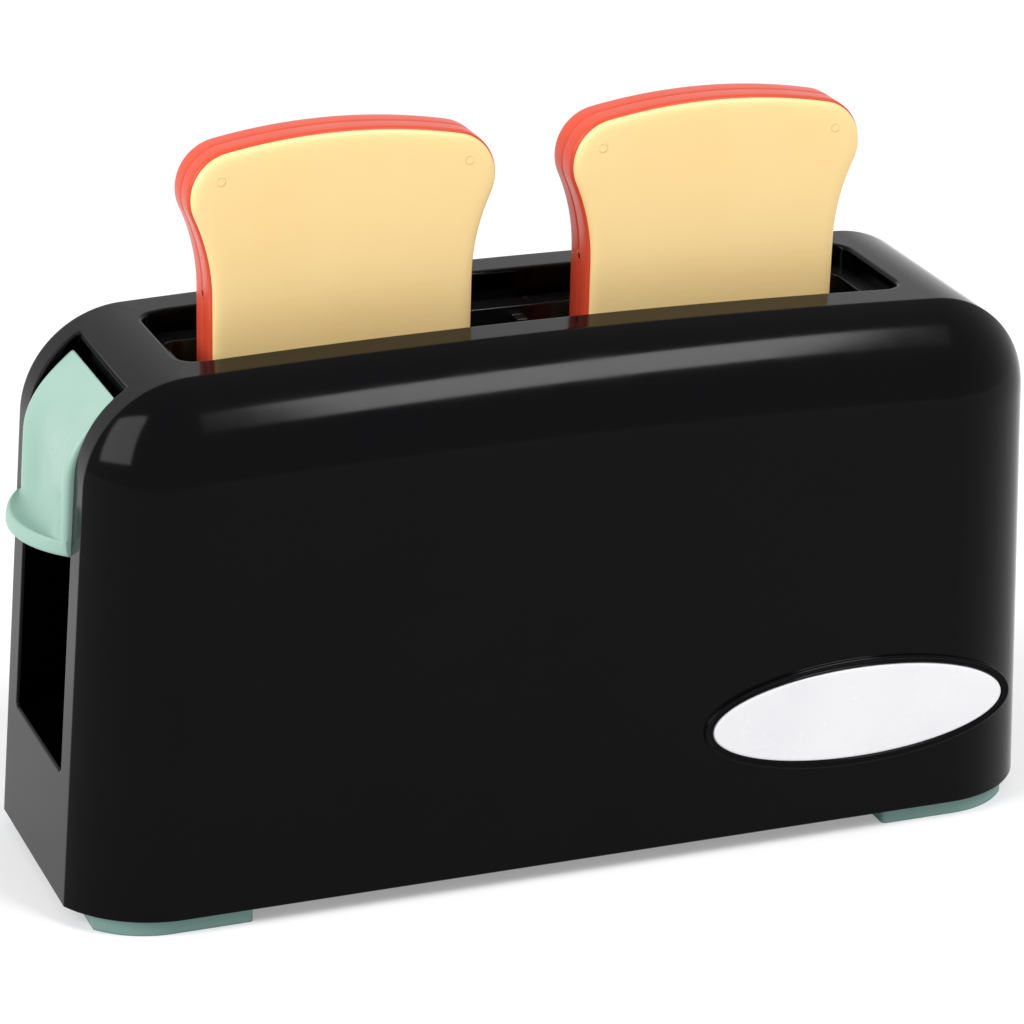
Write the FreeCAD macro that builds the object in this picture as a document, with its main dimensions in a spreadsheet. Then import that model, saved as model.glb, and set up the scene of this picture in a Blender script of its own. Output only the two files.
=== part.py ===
import FreeCAD, Part
import math
import os
import types

import Sketcher
from FreeCAD import Placement, Rotation, Vector

# Toy pop-up toaster for two slices, in millimetres.
# Frame: +Z up, X along the slot (the lever is at the -X end), -Y is the front with the badge.
# Origin: on the surface that the feet stand on, under the middle of the whole outline.
# The pieces are drawn about the middle of the housing, and node() moves each finished one
# so that the thumb ledge and the other end are equally far from the origin.
# Every size below is written once. What fits another piece is worked out from the same sizes.

SIZES = [
    # housing, seen from outside
    ("end_room", 33.3, "from an end of the bread well to that end of the housing, at its bottom"),
    ("body_depth", 75.0, "front face to back face"),
    ("body_height", 115.0, "bottom edge to the middle of the crowned top"),
    ("end_lean", 6.5, "how far each end leans inwards over the body height"),
    ("corner_radius", 23.0, "where the ends turn into the top"),
    ("crown_radius", 2000.0, "of the gently crowned top"),
    ("margin_width", 22.0, "of the soft border round the front and back faces"),
    ("margin_drop", 13.6, "of that border, from the flat face to its crease"),
    ("shell_wall", 2.2, "of the housing"),
    # feet
    ("foot_height", 4.0, "from the table to the bottom edge of the housing"),
    ("foot_length", 32.5, "of one foot along X"),
    ("foot_width", 21.0, "of one foot along Y"),
    ("foot_end_inset", 5.0, "from the end of the housing to the foot"),
    ("foot_side_inset", 2.2, "from the front or back face to the foot"),
    ("foot_sweep_length", 15.0, "of the curve at the foot's outer corner, along X"),
    ("foot_sweep_depth", 7.0, "of that curve, along Y"),
    ("foot_corner", 1.0, "radius of the foot's other corners"),
    ("stem_radius", 3.0, "of the stud that holds a foot"),
    # toy slices of bread
    ("toast_height", 78.8, "bottom to top"),
    ("toast_half_width", 33.1, "half the width over the shoulders"),
    ("toast_foot_half", 28.5, "half the width of the straight lower part"),
    ("toast_neck_height", 45.0, "of the straight lower part"),
    ("toast_shoulder_drop", 12.3, "from the top down to the widest place"),
    ("toast_shoulder_radius", 10.0, "of the round shoulders"),
    ("toast_corner_radius", 6.0, "of the bottom corners"),
    ("crumb_inset", 0.5, "of the crumb faces inside the crust's outline"),
    ("crust_thickness", 10.2, "of the crust between the two crumb faces"),
    ("crumb_thickness", 1.2, "of one crumb face"),
    ("toast_spacing", 82.7, "between the middles of the two slices"),
    ("toast_shift", 1.35, "the slices lie this far towards the lever from the slot's middle"),
    # slot and bread guide
    ("slot_centre", -1.3, "X of the middle of the slot"),
    ("slot_end_gap", 0.9, "from the left slice's shoulder to the end of the bread well"),
    ("slot_side_gap", 3.9, "from a slice's face to the side of the bread well"),
    ("ledge_side", 5.5, "width of the ledge along the slot"),
    ("ledge_end", 3.8, "width of the ledge at the slot's ends"),
    ("ledge_depth", 6.5, "from the top of the housing to the ledge"),
    ("slot_radius", 5.0, "of the slot's corners"),
    ("guide_wall", 2.0, "of the bread guide"),
    ("flange_side", 4.3, "how far the guide's flange reaches past the slot, front and back"),
    ("well_depth", 70.5, "of the guide's side walls below its flange's top"),
    ("end_wall_depth", 22.0, "of the guide's end walls below its flange"),
    ("rib_width", 2.5, "of the ribs between the two slices"),
    ("rib_reach", 3.0, "of those ribs into the well"),
    ("rib_offset", 2.1, "from the middle of the slot to the ribs"),
    # lever and its channel in the left end
    ("channel_half", 17.2, "half the width of the channel"),
    ("channel_room", 2.1, "between the pressed lever and the channel's floor"),
    ("channel_depth", 16.3, "from the end of the housing to the channel's inner wall"),
    ("lever_side_gap", 0.8, "between the lever and the channel"),
    ("lever_step", 2.5, "from the raised slices' lower edge down to the lever's"),
    ("lever_top_gap", 1.9, "from the lever's upper end to the channel's inner wall"),
    ("lever_proud", 1.7, "of the lever's rims in front of the housing's end"),
    ("lever_fall", 2.9, "how far the rims' arch lies below the housing's"),
    ("dish_sink", 0.6, "of the dished face behind the housing's end"),
    ("dish_fall", 1.1, "how far the dish's arch lies below the housing's"),
    ("lever_back", 3.2, "from the housing's surface to the back of the lever"),
    ("lever_rim", 3.4, "width of the rims beside the dish"),
    ("ledge_reach", 7.6, "of the thumb ledge out of the housing's end"),
    ("thumb_height", 4.5, "of the thumb ledge"),
    ("thumb_floor", 2.0, "of the ledge below its hollow"),
    ("lever_travel", 45.0, "of the lever, the carriage and the slices"),
    # carriage
    ("slice_hold", 38.0, "how deep the raised slices still stand in the housing"),
    ("seat_gap", 0.2, "between a slice and its tray"),
    ("tray_floor", 2.3, "thickness of the trays"),
    ("tray_wall", 1.4, "thickness of the trays' rims"),
    ("tray_rim", 5.0, "height of the trays' rims"),
    ("tray_gap", 0.8, "from a slice to its tray's rim"),
    ("bar_half", 4.0, "half the width of the carriage's bar"),
    ("bar_thickness", 3.5, "of the carriage's bar"),
    ("sleeve_radius", 4.0, "of the sleeves that run on the rods"),
    ("sleeve_below", 4.0, "of a sleeve below the bar"),
    ("sleeve_length", 14.0, "of a sleeve"),
    ("sleeve_gap", 0.8, "from a sleeve to the bread guide's end wall"),
    ("arm_half", 3.5, "half the thickness of the lever arm"),
    ("arm_height", 21.5, "of the lever arm"),
    ("arm_gap", 0.5, "between the arm and the slit it runs in"),
    ("boss_reach", 8.0, "from the lever's top end back to the face that the arm meets"),
    ("boss_half", 6.0, "half the width of the lever's boss"),
    ("key_half", 4.0, "half the length of the catch key along the bar"),
    ("key_thickness", 3.0, "of the catch key"),
    ("key_height", 9.0, "of the catch key below the bar"),
    # rods, springs and catch
    ("rod_radius", 2.0, "of the guide rods"),
    ("running_gap", 0.06, "radial, between a rod and its sleeve"),
    ("socket_gap", 0.05, "radial, between a rod or stud and its socket"),
    ("socket_wall", 2.2, "round the ends of the rods"),
    ("socket_depth", 7.5, "of the upper rod sockets below the guide's flange"),
    ("seat_height", 4.0, "of the spring seats above the base plate"),
    ("socket_floor", 1.0, "left under and over the rods' ends"),
    ("wire_radius", 0.45, "of the springs"),
    ("spring_radius", 3.0, "of the springs, to the middle of the wire"),
    ("spring_turns", 11.0, "of each spring"),
    ("jaw_gap", 0.1, "between the catch key and each jaw"),
    ("jaw_thickness", 1.0, "of the catch's jaws"),
    ("jaw_height", 17.0, "of the catch"),
    ("catch_floor", 1.5, "thickness of the catch's foot"),
    ("catch_foot", 8.0, "half the width of the catch's foot"),
    # base plate and screws
    ("base_thickness", 3.0, "of the base plate"),
    ("base_gap", 0.3, "round the base plate"),
    ("post_end_gap", 50.0, "from the ends of the housing to the screw posts"),
    ("post_side_gap", 9.5, "from the front and back faces to the screw posts"),
    ("post_radius", 3.5, "of the screw posts"),
    ("post_height", 25.0, "of the screw posts above the base plate"),
    ("web_thickness", 2.0, "of the webs between the posts and the shell"),
    ("screw_radius", 1.5, "of the base screws"),
    ("screw_length", 14.0, "of the base screws under the head"),
    ("screw_gap", 0.05, "radial, round a screw in its pilot hole"),
    ("head_radius", 2.8, "of the base screws' heads"),
    ("head_height", 1.7, "of the base screws' heads"),
    ("head_gap", 0.2, "round a screw's head"),
    ("head_sink", 0.05, "of the base screws' heads inside the base plate"),
    ("end_gap", 0.2, "at the ends of rods and studs in their sockets"),
    ("small_screw", 1.25, "radius of the small screws"),
    ("small_head", 2.2, "radius of the small screws' heads"),
    ("small_head_height", 1.5, "of the small screws' heads"),
    ("guide_screw_gap", 21.7, "from the ends of the bread well to the guide's screws"),
    ("guide_screw_length", 5.0, "of the guide's screws under the head"),
    ("guide_boss", 3.2, "radius of the bosses for the guide's screws"),
    ("lever_screw_low", 11.0, "of the lower lever screw above the arm's bottom"),
    ("lever_screw_pitch", 6.5, "between the two lever screws"),
    ("lever_screw_bite", 4.5, "of the lever screws into the lever's boss"),
    ("lever_head_step", 3.6, "from a rod's middle line to the lever screws' heads"),
    ("cross_reach", 1.4, "from a screw's middle to the end of the cross recess"),
    ("cross_width", 0.6, "of the cross recess in a screw's head"),
    ("cross_depth", 0.8, "of that recess"),
    # badge
    ("badge_end_gap", 46.5, "from the right end of the housing to the badge's middle"),
    ("badge_rise", 25.6, "from the bottom edge of the housing to the badge's middle"),
    ("badge_half_length", 34.4, "half the badge plate's length"),
    ("badge_half_height", 10.6, "half the badge plate's height"),
    ("badge_thickness", 1.4, "of the badge plate"),
    ("badge_gap", 0.1, "round the badge plate"),
    ("bezel_width", 1.9, "of the raised rim round the badge"),
    ("bezel_rise", 0.9, "of that rim above the front face"),
    ("bezel_root", 3.5, "of that rim behind the front face"),
]


class Size:
    """A length that knows its value and the spreadsheet expression that gives it."""

    def __init__(self, value, text):
        self.value = value
        self.text = text

    def __add__(self, other):
        other = as_size(other)
        return Size(self.value + other.value, f"({self.text} + {other.text})")

    def __radd__(self, other):
        return as_size(other) + self

    def __sub__(self, other):
        other = as_size(other)
        return Size(self.value - other.value, f"({self.text} - {other.text})")

    def __rsub__(self, other):
        return as_size(other) - self

    def __mul__(self, other):
        other = as_size(other)
        return Size(self.value * other.value, f"({self.text} * {other.text})")

    def __rmul__(self, other):
        return as_size(other) * self

    def __truediv__(self, other):
        other = as_size(other)
        return Size(self.value / other.value, f"({self.text} / {other.text})")

    def __neg__(self):
        return Size(-self.value, f"(-1 * {self.text})")


def as_size(number):
    if isinstance(number, Size):
        return number
    return Size(float(number), repr(float(number)))


doc = FreeCAD.newDocument("ToyToaster")
sheet = doc.addObject("Spreadsheet::Sheet", "Sizes")
for row, (alias, number, meaning) in enumerate(SIZES, start=1):
    sheet.set(f"A{row}", alias)
    sheet.set(f"B{row}", str(number))
    sheet.setAlias(f"B{row}", alias)
    sheet.set(f"C{row}", meaning)
doc.recompute()
S = types.SimpleNamespace(**{alias: Size(number, f"Sizes.{alias}") for alias, number, _ in SIZES})

OVERCUT = 5.0  # how far a cutting block runs past the solid that it cuts


# ---------------------------------------------------------------- drawing helpers

def bind(thing, prop, size):
    """Set a property and tie it to the spreadsheet."""
    size = as_size(size)
    if "." not in prop:
        setattr(thing, prop, size.value)
    thing.setExpression(prop, size.text)


def place(thing, x=0, y=0, z=0, rotation=None):
    spot = [as_size(x), as_size(y), as_size(z)]
    thing.Placement = Placement(Vector(*[part.value for part in spot]), rotation or Rotation())
    for axis, part in zip("xyz", spot):
        thing.setExpression(f"Placement.Base.{axis}", part.text)
    return thing


def block(name, x, y, z):
    """A box between the pairs of limits x, y and z."""
    box = doc.addObject("Part::Box", name)
    for prop, (low, high) in (("Length", x), ("Width", y), ("Height", z)):
        bind(box, prop, as_size(high) - low)
    return place(box, x[0], y[0], z[0])


ALONG = {
    "x": Rotation(Vector(0, 1, 0), 90),
    "z": Rotation(),
}


def rod(name, radius, length, x, y, z, along="z"):
    """A cylinder that starts at a point and runs along +X or +Z."""
    cylinder = doc.addObject("Part::Cylinder", name)
    bind(cylinder, "Radius", radius)
    bind(cylinder, "Height", length)
    return place(cylinder, x, y, z, ALONG[along])


def fuse(name, shapes):
    fusion = doc.addObject("Part::MultiFuse", name)
    fusion.Shapes = shapes
    fusion.Refine = True
    return fusion


def cut(name, base, tools):
    tool = tools[0] if len(tools) == 1 else fuse(f"{name}_tools", tools)
    result = doc.addObject("Part::Cut", name)
    result.Base = base
    result.Tool = tool
    result.Refine = True
    return result


def common(name, first, second):
    result = doc.addObject("Part::MultiCommon", name)
    result.Shapes = [first, second]
    result.Refine = True
    return result


def mirrored(name, source, normal):
    mirror = doc.addObject("Part::Mirroring", name)
    mirror.Source = source
    mirror.Normal = Vector(*normal)
    return mirror


PLANES = {
    "XY": Rotation(),
    "XZ": Rotation(Vector(1, 0, 0), 90),
    "YZ": Rotation(Vector(1, 1, 1), 120),
}


def pin_point(sketch, geo, end, x, y):
    """Tie one end of a line or an arc to a place in the sketch."""
    for kind, size in (("DistanceX", as_size(x)), ("DistanceY", as_size(y))):
        number = sketch.addConstraint(Sketcher.Constraint(kind, -1, 1, geo, end, size.value))
        sketch.setExpression(f"Constraints[{number}]", size.text)


def outline(sketch, start, steps):
    """Draw a closed outline of lines ("line", x, y) and arcs ("arc", x, y, radius, side).

    The side says where an arc's centre lies as one walks from its start to its end.
    """
    corners = [start] + [(step[1], step[2]) for step in steps]
    first = sketch.GeometryCount
    for (x0, y0), step in zip(corners, steps):
        a = Vector(as_size(x0).value, as_size(y0).value, 0)
        b = Vector(as_size(step[1]).value, as_size(step[2]).value, 0)
        if step[0] == "line":
            geo = sketch.addGeometry(Part.LineSegment(a, b))
            start_point = 1
        else:
            radius = as_size(step[3])
            middle = (a + b) * 0.5
            along = (b - a).normalize()
            left = Vector(-along.y, along.x, 0)
            turn = 1.0 if step[4] == "left" else -1.0
            reach = math.sqrt(radius.value ** 2 - (b - a).Length ** 2 / 4.0)
            centre = middle + left * (turn * reach)
            angles = [math.atan2(point.y - centre.y, point.x - centre.x) for point in (a, b)]
            if step[4] == "right":
                angles.reverse()
            circle = Part.Circle(centre, Vector(0, 0, 1), radius.value)
            geo = sketch.addGeometry(Part.ArcOfCircle(circle, angles[0], angles[1]))
            number = sketch.addConstraint(Sketcher.Constraint("Radius", geo, radius.value))
            sketch.setExpression(f"Constraints[{number}]", radius.text)
            start_point = 1 if step[4] == "left" else 2
        pin_point(sketch, geo, start_point, x0, y0)
        if geo > first:
            sketch.addConstraint(
                Sketcher.Constraint("Coincident", geo - 1, end_point, geo, start_point))
        end_point = 3 - start_point
    last = sketch.GeometryCount - 1
    first_start = 1 if steps[0][0] == "line" or steps[0][4] == "left" else 2
    sketch.addConstraint(Sketcher.Constraint("Coincident", last, end_point, first, first_start))
    return sketch


def free_sketch(name, plane, x=0, y=0, z=0):
    sketch = doc.addObject("Sketcher::SketchObject", name)
    return place(sketch, x, y, z, PLANES[plane])


def body_sketch(body, name, role, offset=0):
    """A sketch on one of the body's own planes, moved along that plane's normal."""
    plane = [item for item in body.Origin.OriginFeatures if item.Role == role][0]
    sketch = body.newObject("Sketcher::SketchObject", name)
    sketch.AttachmentSupport = [(plane, "")]
    sketch.MapMode = "FlatFace"
    offset = as_size(offset)
    sketch.AttachmentOffset = Placement(Vector(0, 0, offset.value), Rotation())
    sketch.setExpression("AttachmentOffset.Base.z", offset.text)
    return sketch


def extrude(name, sketch, direction, length, both_ways=False):
    prism = doc.addObject("Part::Extrusion", name)
    prism.Base = sketch
    prism.DirMode = "Custom"
    prism.Dir = Vector(*direction)
    bind(prism, "LengthFwd", length)
    prism.Symmetric = both_ways
    prism.Solid = True
    return prism


def rounded_block(name, x, y, z, radius):
    """A block between the limits x, y and z, with four rounded upright edges."""
    (x0, x1), (y0, y1), (z0, z1) = x, y, z
    sketch = free_sketch(f"{name}_outline", "XY", 0, 0, z0)
    outline(sketch, (x0 + radius, y0), [
        ("line", x1 - radius, y0),
        ("arc", x1, y0 + radius, radius, "left"),
        ("line", x1, y1 - radius),
        ("arc", x1 - radius, y1, radius, "left"),
        ("line", x0 + radius, y1),
        ("arc", x0, y1 - radius, radius, "left"),
        ("line", x0, y0 + radius),
        ("arc", x0 + radius, y0, radius, "left"),
    ])
    return extrude(name, sketch, (0, 0, 1), as_size(z1) - z0)


NODES = []


def node(thing, label, x=0):
    """Name a finished sub-part and move it by the frame's offset (x: where it stands already)."""
    thing.Label = label
    spot = as_size(x) + S.ledge_reach / 4
    base = thing.Placement.Base
    thing.Placement = Placement(Vector(spot.value, base.y, base.z), thing.Placement.Rotation)
    thing.setExpression("Placement.Base.x", spot.text)
    NODES.append(thing)
    return thing


# ---------------------------------------------------------------- shared places

bottom_edge = S.foot_height
body_top = bottom_edge + S.body_height
base_top = bottom_edge + S.base_thickness
toast_thickness = S.crust_thickness + 2 * S.crumb_thickness
slice_reach = S.toast_spacing / 2 + S.toast_shift + S.toast_half_width
well_half_length = slice_reach + S.slot_end_gap
well_half_width = toast_thickness / 2 + S.slot_side_gap
slot_half_length = well_half_length + S.ledge_end
slot_half_width = well_half_width + S.ledge_side
body_length = 2 * (well_half_length + S.end_room)
front_face = -S.body_depth / 2
toast_middles = {
    "left": S.slot_centre - S.toast_shift - S.toast_spacing / 2,
    "right": S.slot_centre - S.toast_shift + S.toast_spacing / 2,
}
flange_top = body_top - S.ledge_depth
flange_bottom = flange_top - S.guide_wall
well_bottom = flange_top - S.well_depth
rod_reach = well_half_length + S.guide_wall + S.sleeve_radius + S.sleeve_gap
rod_places = {"left": S.slot_centre - rod_reach, "right": S.slot_centre + rod_reach}
rib_middle = S.slot_centre + S.rib_offset
lift_height = body_top - S.slice_hold
lever_bottom = lift_height - S.lever_step
channel_floor = lever_bottom - S.lever_travel - S.channel_room
inner_wall = S.channel_depth - body_length / 2
lever_half = S.channel_half - S.lever_side_gap
lever_end = inner_wall - S.lever_top_gap
arm_face = lever_end - S.lever_top_gap
arm_top = lever_bottom + S.arm_height
bar_top = lift_height - S.seat_gap - S.tray_floor
bar_bottom = bar_top - S.bar_thickness
sleeve_bottom = bar_bottom - S.sleeve_below
post_x = body_length / 2 - S.post_end_gap
post_y = S.body_depth / 2 - S.post_side_gap
badge_x = body_length / 2 - S.badge_end_gap
badge_z = bottom_edge + S.badge_rise


# ---------------------------------------------------------------- the housing's form

def arch_numbers(inset):
    """Where the arch's lines and arcs touch, so that its sketch starts close to its solution."""
    half = body_length.value / 2 - inset.value
    height = S.body_height.value - inset.value
    lean = S.end_lean.value
    slant = math.hypot(lean, S.body_height.value)
    up, across = S.body_height.value / slant, lean / slant
    radius = S.corner_radius.value - inset.value
    crown = S.crown_radius.value - inset.value
    base = bottom_edge.value
    crown_z = base + height - crown
    # the corner's centre lies on a line parallel to the end, at a set distance from the crown's
    px, pz = -half + radius / up, base
    dx, dz = across / up, 1.0
    a = dx * dx + dz * dz
    b = px * dx + (pz - crown_z) * dz
    c = px * px + (pz - crown_z) ** 2 - (crown - radius) ** 2
    step = (-b + math.sqrt(b * b - a * c)) / a
    centre = Vector(px + dx * step, pz + dz * step, 0)
    low = centre + Vector(-up * radius, across * radius, 0)
    crown_centre = Vector(0, crown_z, 0)
    high = crown_centre + (centre - crown_centre) * (crown / (crown - radius))
    return half, base, radius, crown, crown_centre, centre, low, high


def arch_sketch(name, inset, half_only=False, overrun=0.0):
    """The outline of the end walls and the top, a given distance inside the housing's own."""
    inset = as_size(inset)
    half, base, radius, crown, crown_centre, centre, low, high = arch_numbers(inset)
    sketch = free_sketch(name, "XZ")
    up = Vector(0, 0, 1)

    def angle(point, middle):
        return math.atan2(point.y - middle.y, point.x - middle.x)

    def flip(point):
        return Vector(-point.x, point.y, 0)

    slope = (low.x + half) / (low.y - base)
    foot = Vector(-half - slope * overrun, base - overrun, 0)
    line = sketch.addGeometry(Part.LineSegment(foot, low))
    corner = sketch.addGeometry(
        Part.ArcOfCircle(Part.Circle(centre, up, radius), angle(high, centre), angle(low, centre)))
    top = Vector(0, crown_centre.y + crown, 0)
    crown_end = top if half_only else flip(high)
    crown_arc = sketch.addGeometry(
        Part.ArcOfCircle(
            Part.Circle(crown_centre, up, crown),
            angle(crown_end, crown_centre),
            angle(high, crown_centre)))
    # a construction point on the line, straight above the bottom edge by the body's height
    lean_point = sketch.addGeometry(
        Part.Point(Vector(-half + S.end_lean.value, base + S.body_height.value, 0)), True)
    pin_point(sketch, lean_point, 1, inset + S.end_lean - body_length / 2, body_top)
    sketch.addConstraint(Sketcher.Constraint("PointOnObject", lean_point, 1, line))
    base_point = sketch.addGeometry(Part.Point(Vector(-half, base, 0)), True)
    pin_point(sketch, base_point, 1, inset - body_length / 2, bottom_edge)
    sketch.addConstraint(Sketcher.Constraint("PointOnObject", base_point, 1, line))
    number = sketch.addConstraint(
        Sketcher.Constraint("DistanceY", -1, 1, line, 1, base - overrun))
    sketch.setExpression(f"Constraints[{number}]", (bottom_edge - overrun).text)
    sketch.addConstraint(Sketcher.Constraint("Tangent", line, 2, corner, 2))
    sketch.addConstraint(Sketcher.Constraint("Tangent", corner, 1, crown_arc, 2))
    for geo, size in ((corner, S.corner_radius - inset), (crown_arc, S.crown_radius - inset)):
        number = sketch.addConstraint(Sketcher.Constraint("Radius", geo, size.value))
        sketch.setExpression(f"Constraints[{number}]", size.text)
    sketch.addConstraint(Sketcher.Constraint("PointOnObject", crown_arc, 3, -2))
    number = sketch.addConstraint(
        Sketcher.Constraint("DistanceY", -1, 1, crown_arc, 3, crown_centre.y))
    sketch.setExpression(f"Constraints[{number}]", (body_top - S.crown_radius).text)
    if half_only:
        sketch.addConstraint(Sketcher.Constraint("PointOnObject", crown_arc, 1, -2))
        return sketch
    corner_right = sketch.addGeometry(
        Part.ArcOfCircle(
            Part.Circle(flip(centre), up, radius),
            angle(flip(low), flip(centre)),
            angle(flip(high), flip(centre))))
    line_right = sketch.addGeometry(Part.LineSegment(flip(low), Vector(half, base, 0)))
    floor = sketch.addGeometry(Part.LineSegment(Vector(half, base, 0), Vector(-half, base, 0)))
    sketch.addConstraint(Sketcher.Constraint("Tangent", crown_arc, 1, corner_right, 2))
    sketch.addConstraint(Sketcher.Constraint("Tangent", corner_right, 1, line_right, 1))
    sketch.addConstraint(Sketcher.Constraint("Coincident", line_right, 2, floor, 1))
    sketch.addConstraint(Sketcher.Constraint("Coincident", floor, 2, line, 1))
    sketch.addConstraint(Sketcher.Constraint("Symmetric", line, 1, line_right, 2, -2))
    sketch.addConstraint(Sketcher.Constraint("Symmetric", line, 2, line_right, 1, -2))
    return sketch


def arch_prism(name, inset, half_width):
    """The arch, drawn out over a width that straddles the middle plane."""
    sketch = arch_sketch(f"{name}_outline", inset)
    return extrude(name, sketch, (0, 1, 0), 2 * as_size(half_width), both_ways=True)


def pillow(name, inset):
    """The housing's outer form, or the same form a given distance inside it."""
    inset = as_size(inset)
    half_depth = S.body_depth / 2 - inset
    width = S.margin_width - inset
    drop = S.margin_drop - inset
    radius = (width * width + drop * drop) / (2 * drop)
    top = body_top - inset
    # the soft border: a curved strip is swept round the arch and taken off the prism
    path = arch_sketch(f"{name}_path", inset, half_only=True, overrun=OVERCUT)
    strip = free_sketch(f"{name}_strip", "YZ")
    outline(strip, (drop - half_depth, top), [
        ("arc", -half_depth, top - width, radius, "left"),
        ("line", -half_depth - OVERCUT, top - width),
        ("line", -half_depth - OVERCUT, top + OVERCUT),
        ("line", drop - half_depth, top + OVERCUT),
        ("line", drop - half_depth, top),
    ])
    sweep = doc.addObject("Part::Sweep", f"{name}_border")
    sweep.Sections = [strip]
    sweep.Spine = (path, ["Edge1", "Edge2", "Edge3"])
    sweep.Solid = True
    sweep.Frenet = False
    front_right = mirrored(f"{name}_border_right", sweep, (1, 0, 0))
    back_left = mirrored(f"{name}_border_back", sweep, (0, 1, 0))
    back_right = mirrored(f"{name}_border_back_right", front_right, (0, 1, 0))
    prism = arch_prism(f"{name}_arch", inset, half_depth)
    return cut(name, prism, [sweep, front_right, back_left, back_right])


def slot_block(name, half_length, half_width, z, radius):
    x = (S.slot_centre - half_length, S.slot_centre + half_length)
    return rounded_block(name, x, (-half_width, half_width), z, radius)


def oval(name, half_length, half_height, y_front, y_back):
    """An upright oval slab on the front face."""
    curve = doc.addObject("Part::Ellipse", f"{name}_curve")
    bind(curve, "MajorRadius", half_length)
    bind(curve, "MinorRadius", half_height)
    place(curve, badge_x, y_front, badge_z, PLANES["XZ"])
    return extrude(name, curve, (0, 1, 0), as_size(y_back) - y_front)


POST_SIGNS = [(-1, -1), (-1, 1), (1, -1), (1, 1)]
GUIDE_SCREW_Y = slot_half_width + S.guide_wall + S.guide_boss - S.web_thickness


def guide_screw_places():
    reach = well_half_length - S.guide_screw_gap
    return [(S.slot_centre + sx * reach, sy * GUIDE_SCREW_Y) for sx, sy in POST_SIGNS]


def post_places():
    return [(sx * post_x, sy * post_y, sy) for sx, sy in POST_SIGNS]


def make_housing():
    """One moulded cap: shell, slot lip, lever channel, screw posts and badge rim."""
    outer = pillow("housing_outer", 0)
    inner = pillow("housing_inner", S.shell_wall)
    shell = cut("housing_shell", outer, [inner])
    wall = S.shell_wall
    half = body_length / 2
    side = S.channel_half + wall
    floor = channel_floor
    parts = [
        slot_block("slot_lip", slot_half_length + wall, slot_half_width + wall,
                   (flange_top, body_top + OVERCUT), S.slot_radius + wall),
        block("channel_box", (-half - OVERCUT, inner_wall + wall), (-side, side),
              (floor - wall, body_top + OVERCUT)),
    ]
    for count, (x, y, sign) in enumerate(post_places()):
        parts.append(rod(f"post_{count}", S.post_radius, S.post_height, x, y, base_top))
        outer_y = sign * S.body_depth / 2
        low, high = (y, outer_y) if sign > 0 else (outer_y, y)
        parts.append(block(f"web_{count}", (x - S.web_thickness / 2, x + S.web_thickness / 2),
                           (low, high), (base_top, base_top + S.post_height)))
    for count, (x, y) in enumerate(guide_screw_places()):
        parts.append(rod(f"guide_boss_{count}", S.guide_boss, S.ledge_depth, x, y, flange_top))
    fittings = common("housing_fittings", fuse("fittings_whole", parts), outer)
    bezel = oval("bezel", S.badge_half_length + S.badge_gap + S.bezel_width,
                 S.badge_half_height + S.badge_gap + S.bezel_width,
                 front_face - S.bezel_rise, front_face + S.bezel_root)
    whole = fuse("housing_whole", [shell, fittings, bezel])
    tools = [
        slot_block("slot_cut", slot_half_length, slot_half_width,
                   (flange_top - OVERCUT, body_top + OVERCUT), S.slot_radius),
        block("channel_cut", (-half - OVERCUT, inner_wall), (-S.channel_half, S.channel_half),
              (floor, body_top + OVERCUT)),
        block("arm_slit", (inner_wall - OVERCUT, inner_wall + wall + OVERCUT),
              (-S.arm_half - S.arm_gap, S.arm_half + S.arm_gap),
              (floor, arm_top + S.arm_gap)),
        oval("badge_pocket", S.badge_half_length + S.badge_gap, S.badge_half_height + S.badge_gap,
             front_face - S.bezel_rise - OVERCUT,
             front_face - S.bezel_rise + S.badge_thickness + S.badge_gap),
    ]
    for count, (x, y, _) in enumerate(post_places()):
        tools.append(rod(f"pilot_{count}", S.screw_radius + S.screw_gap, S.screw_length,
                         x, y, base_top))
    for count, (x, y) in enumerate(guide_screw_places()):
        tools.append(rod(f"guide_pilot_{count}", S.small_screw + S.screw_gap,
                         S.guide_screw_length, x, y, flange_top))
    return node(cut("housing_cap", whole, tools), "housing")


# ---------------------------------------------------------------- base, feet and screws

def foot_places():
    """Each foot's label, its signs and the place of its stud."""
    for sx, sy, label in ((-1, -1, "front_left"), (1, -1, "front_right"),
                          (-1, 1, "back_left"), (1, 1, "back_right")):
        x = sx * (body_length / 2 - S.foot_end_inset - S.foot_length / 2)
        y = sy * (S.body_depth / 2 - S.foot_side_inset - S.foot_width / 2)
        yield label, sx, sy, x, y


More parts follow.
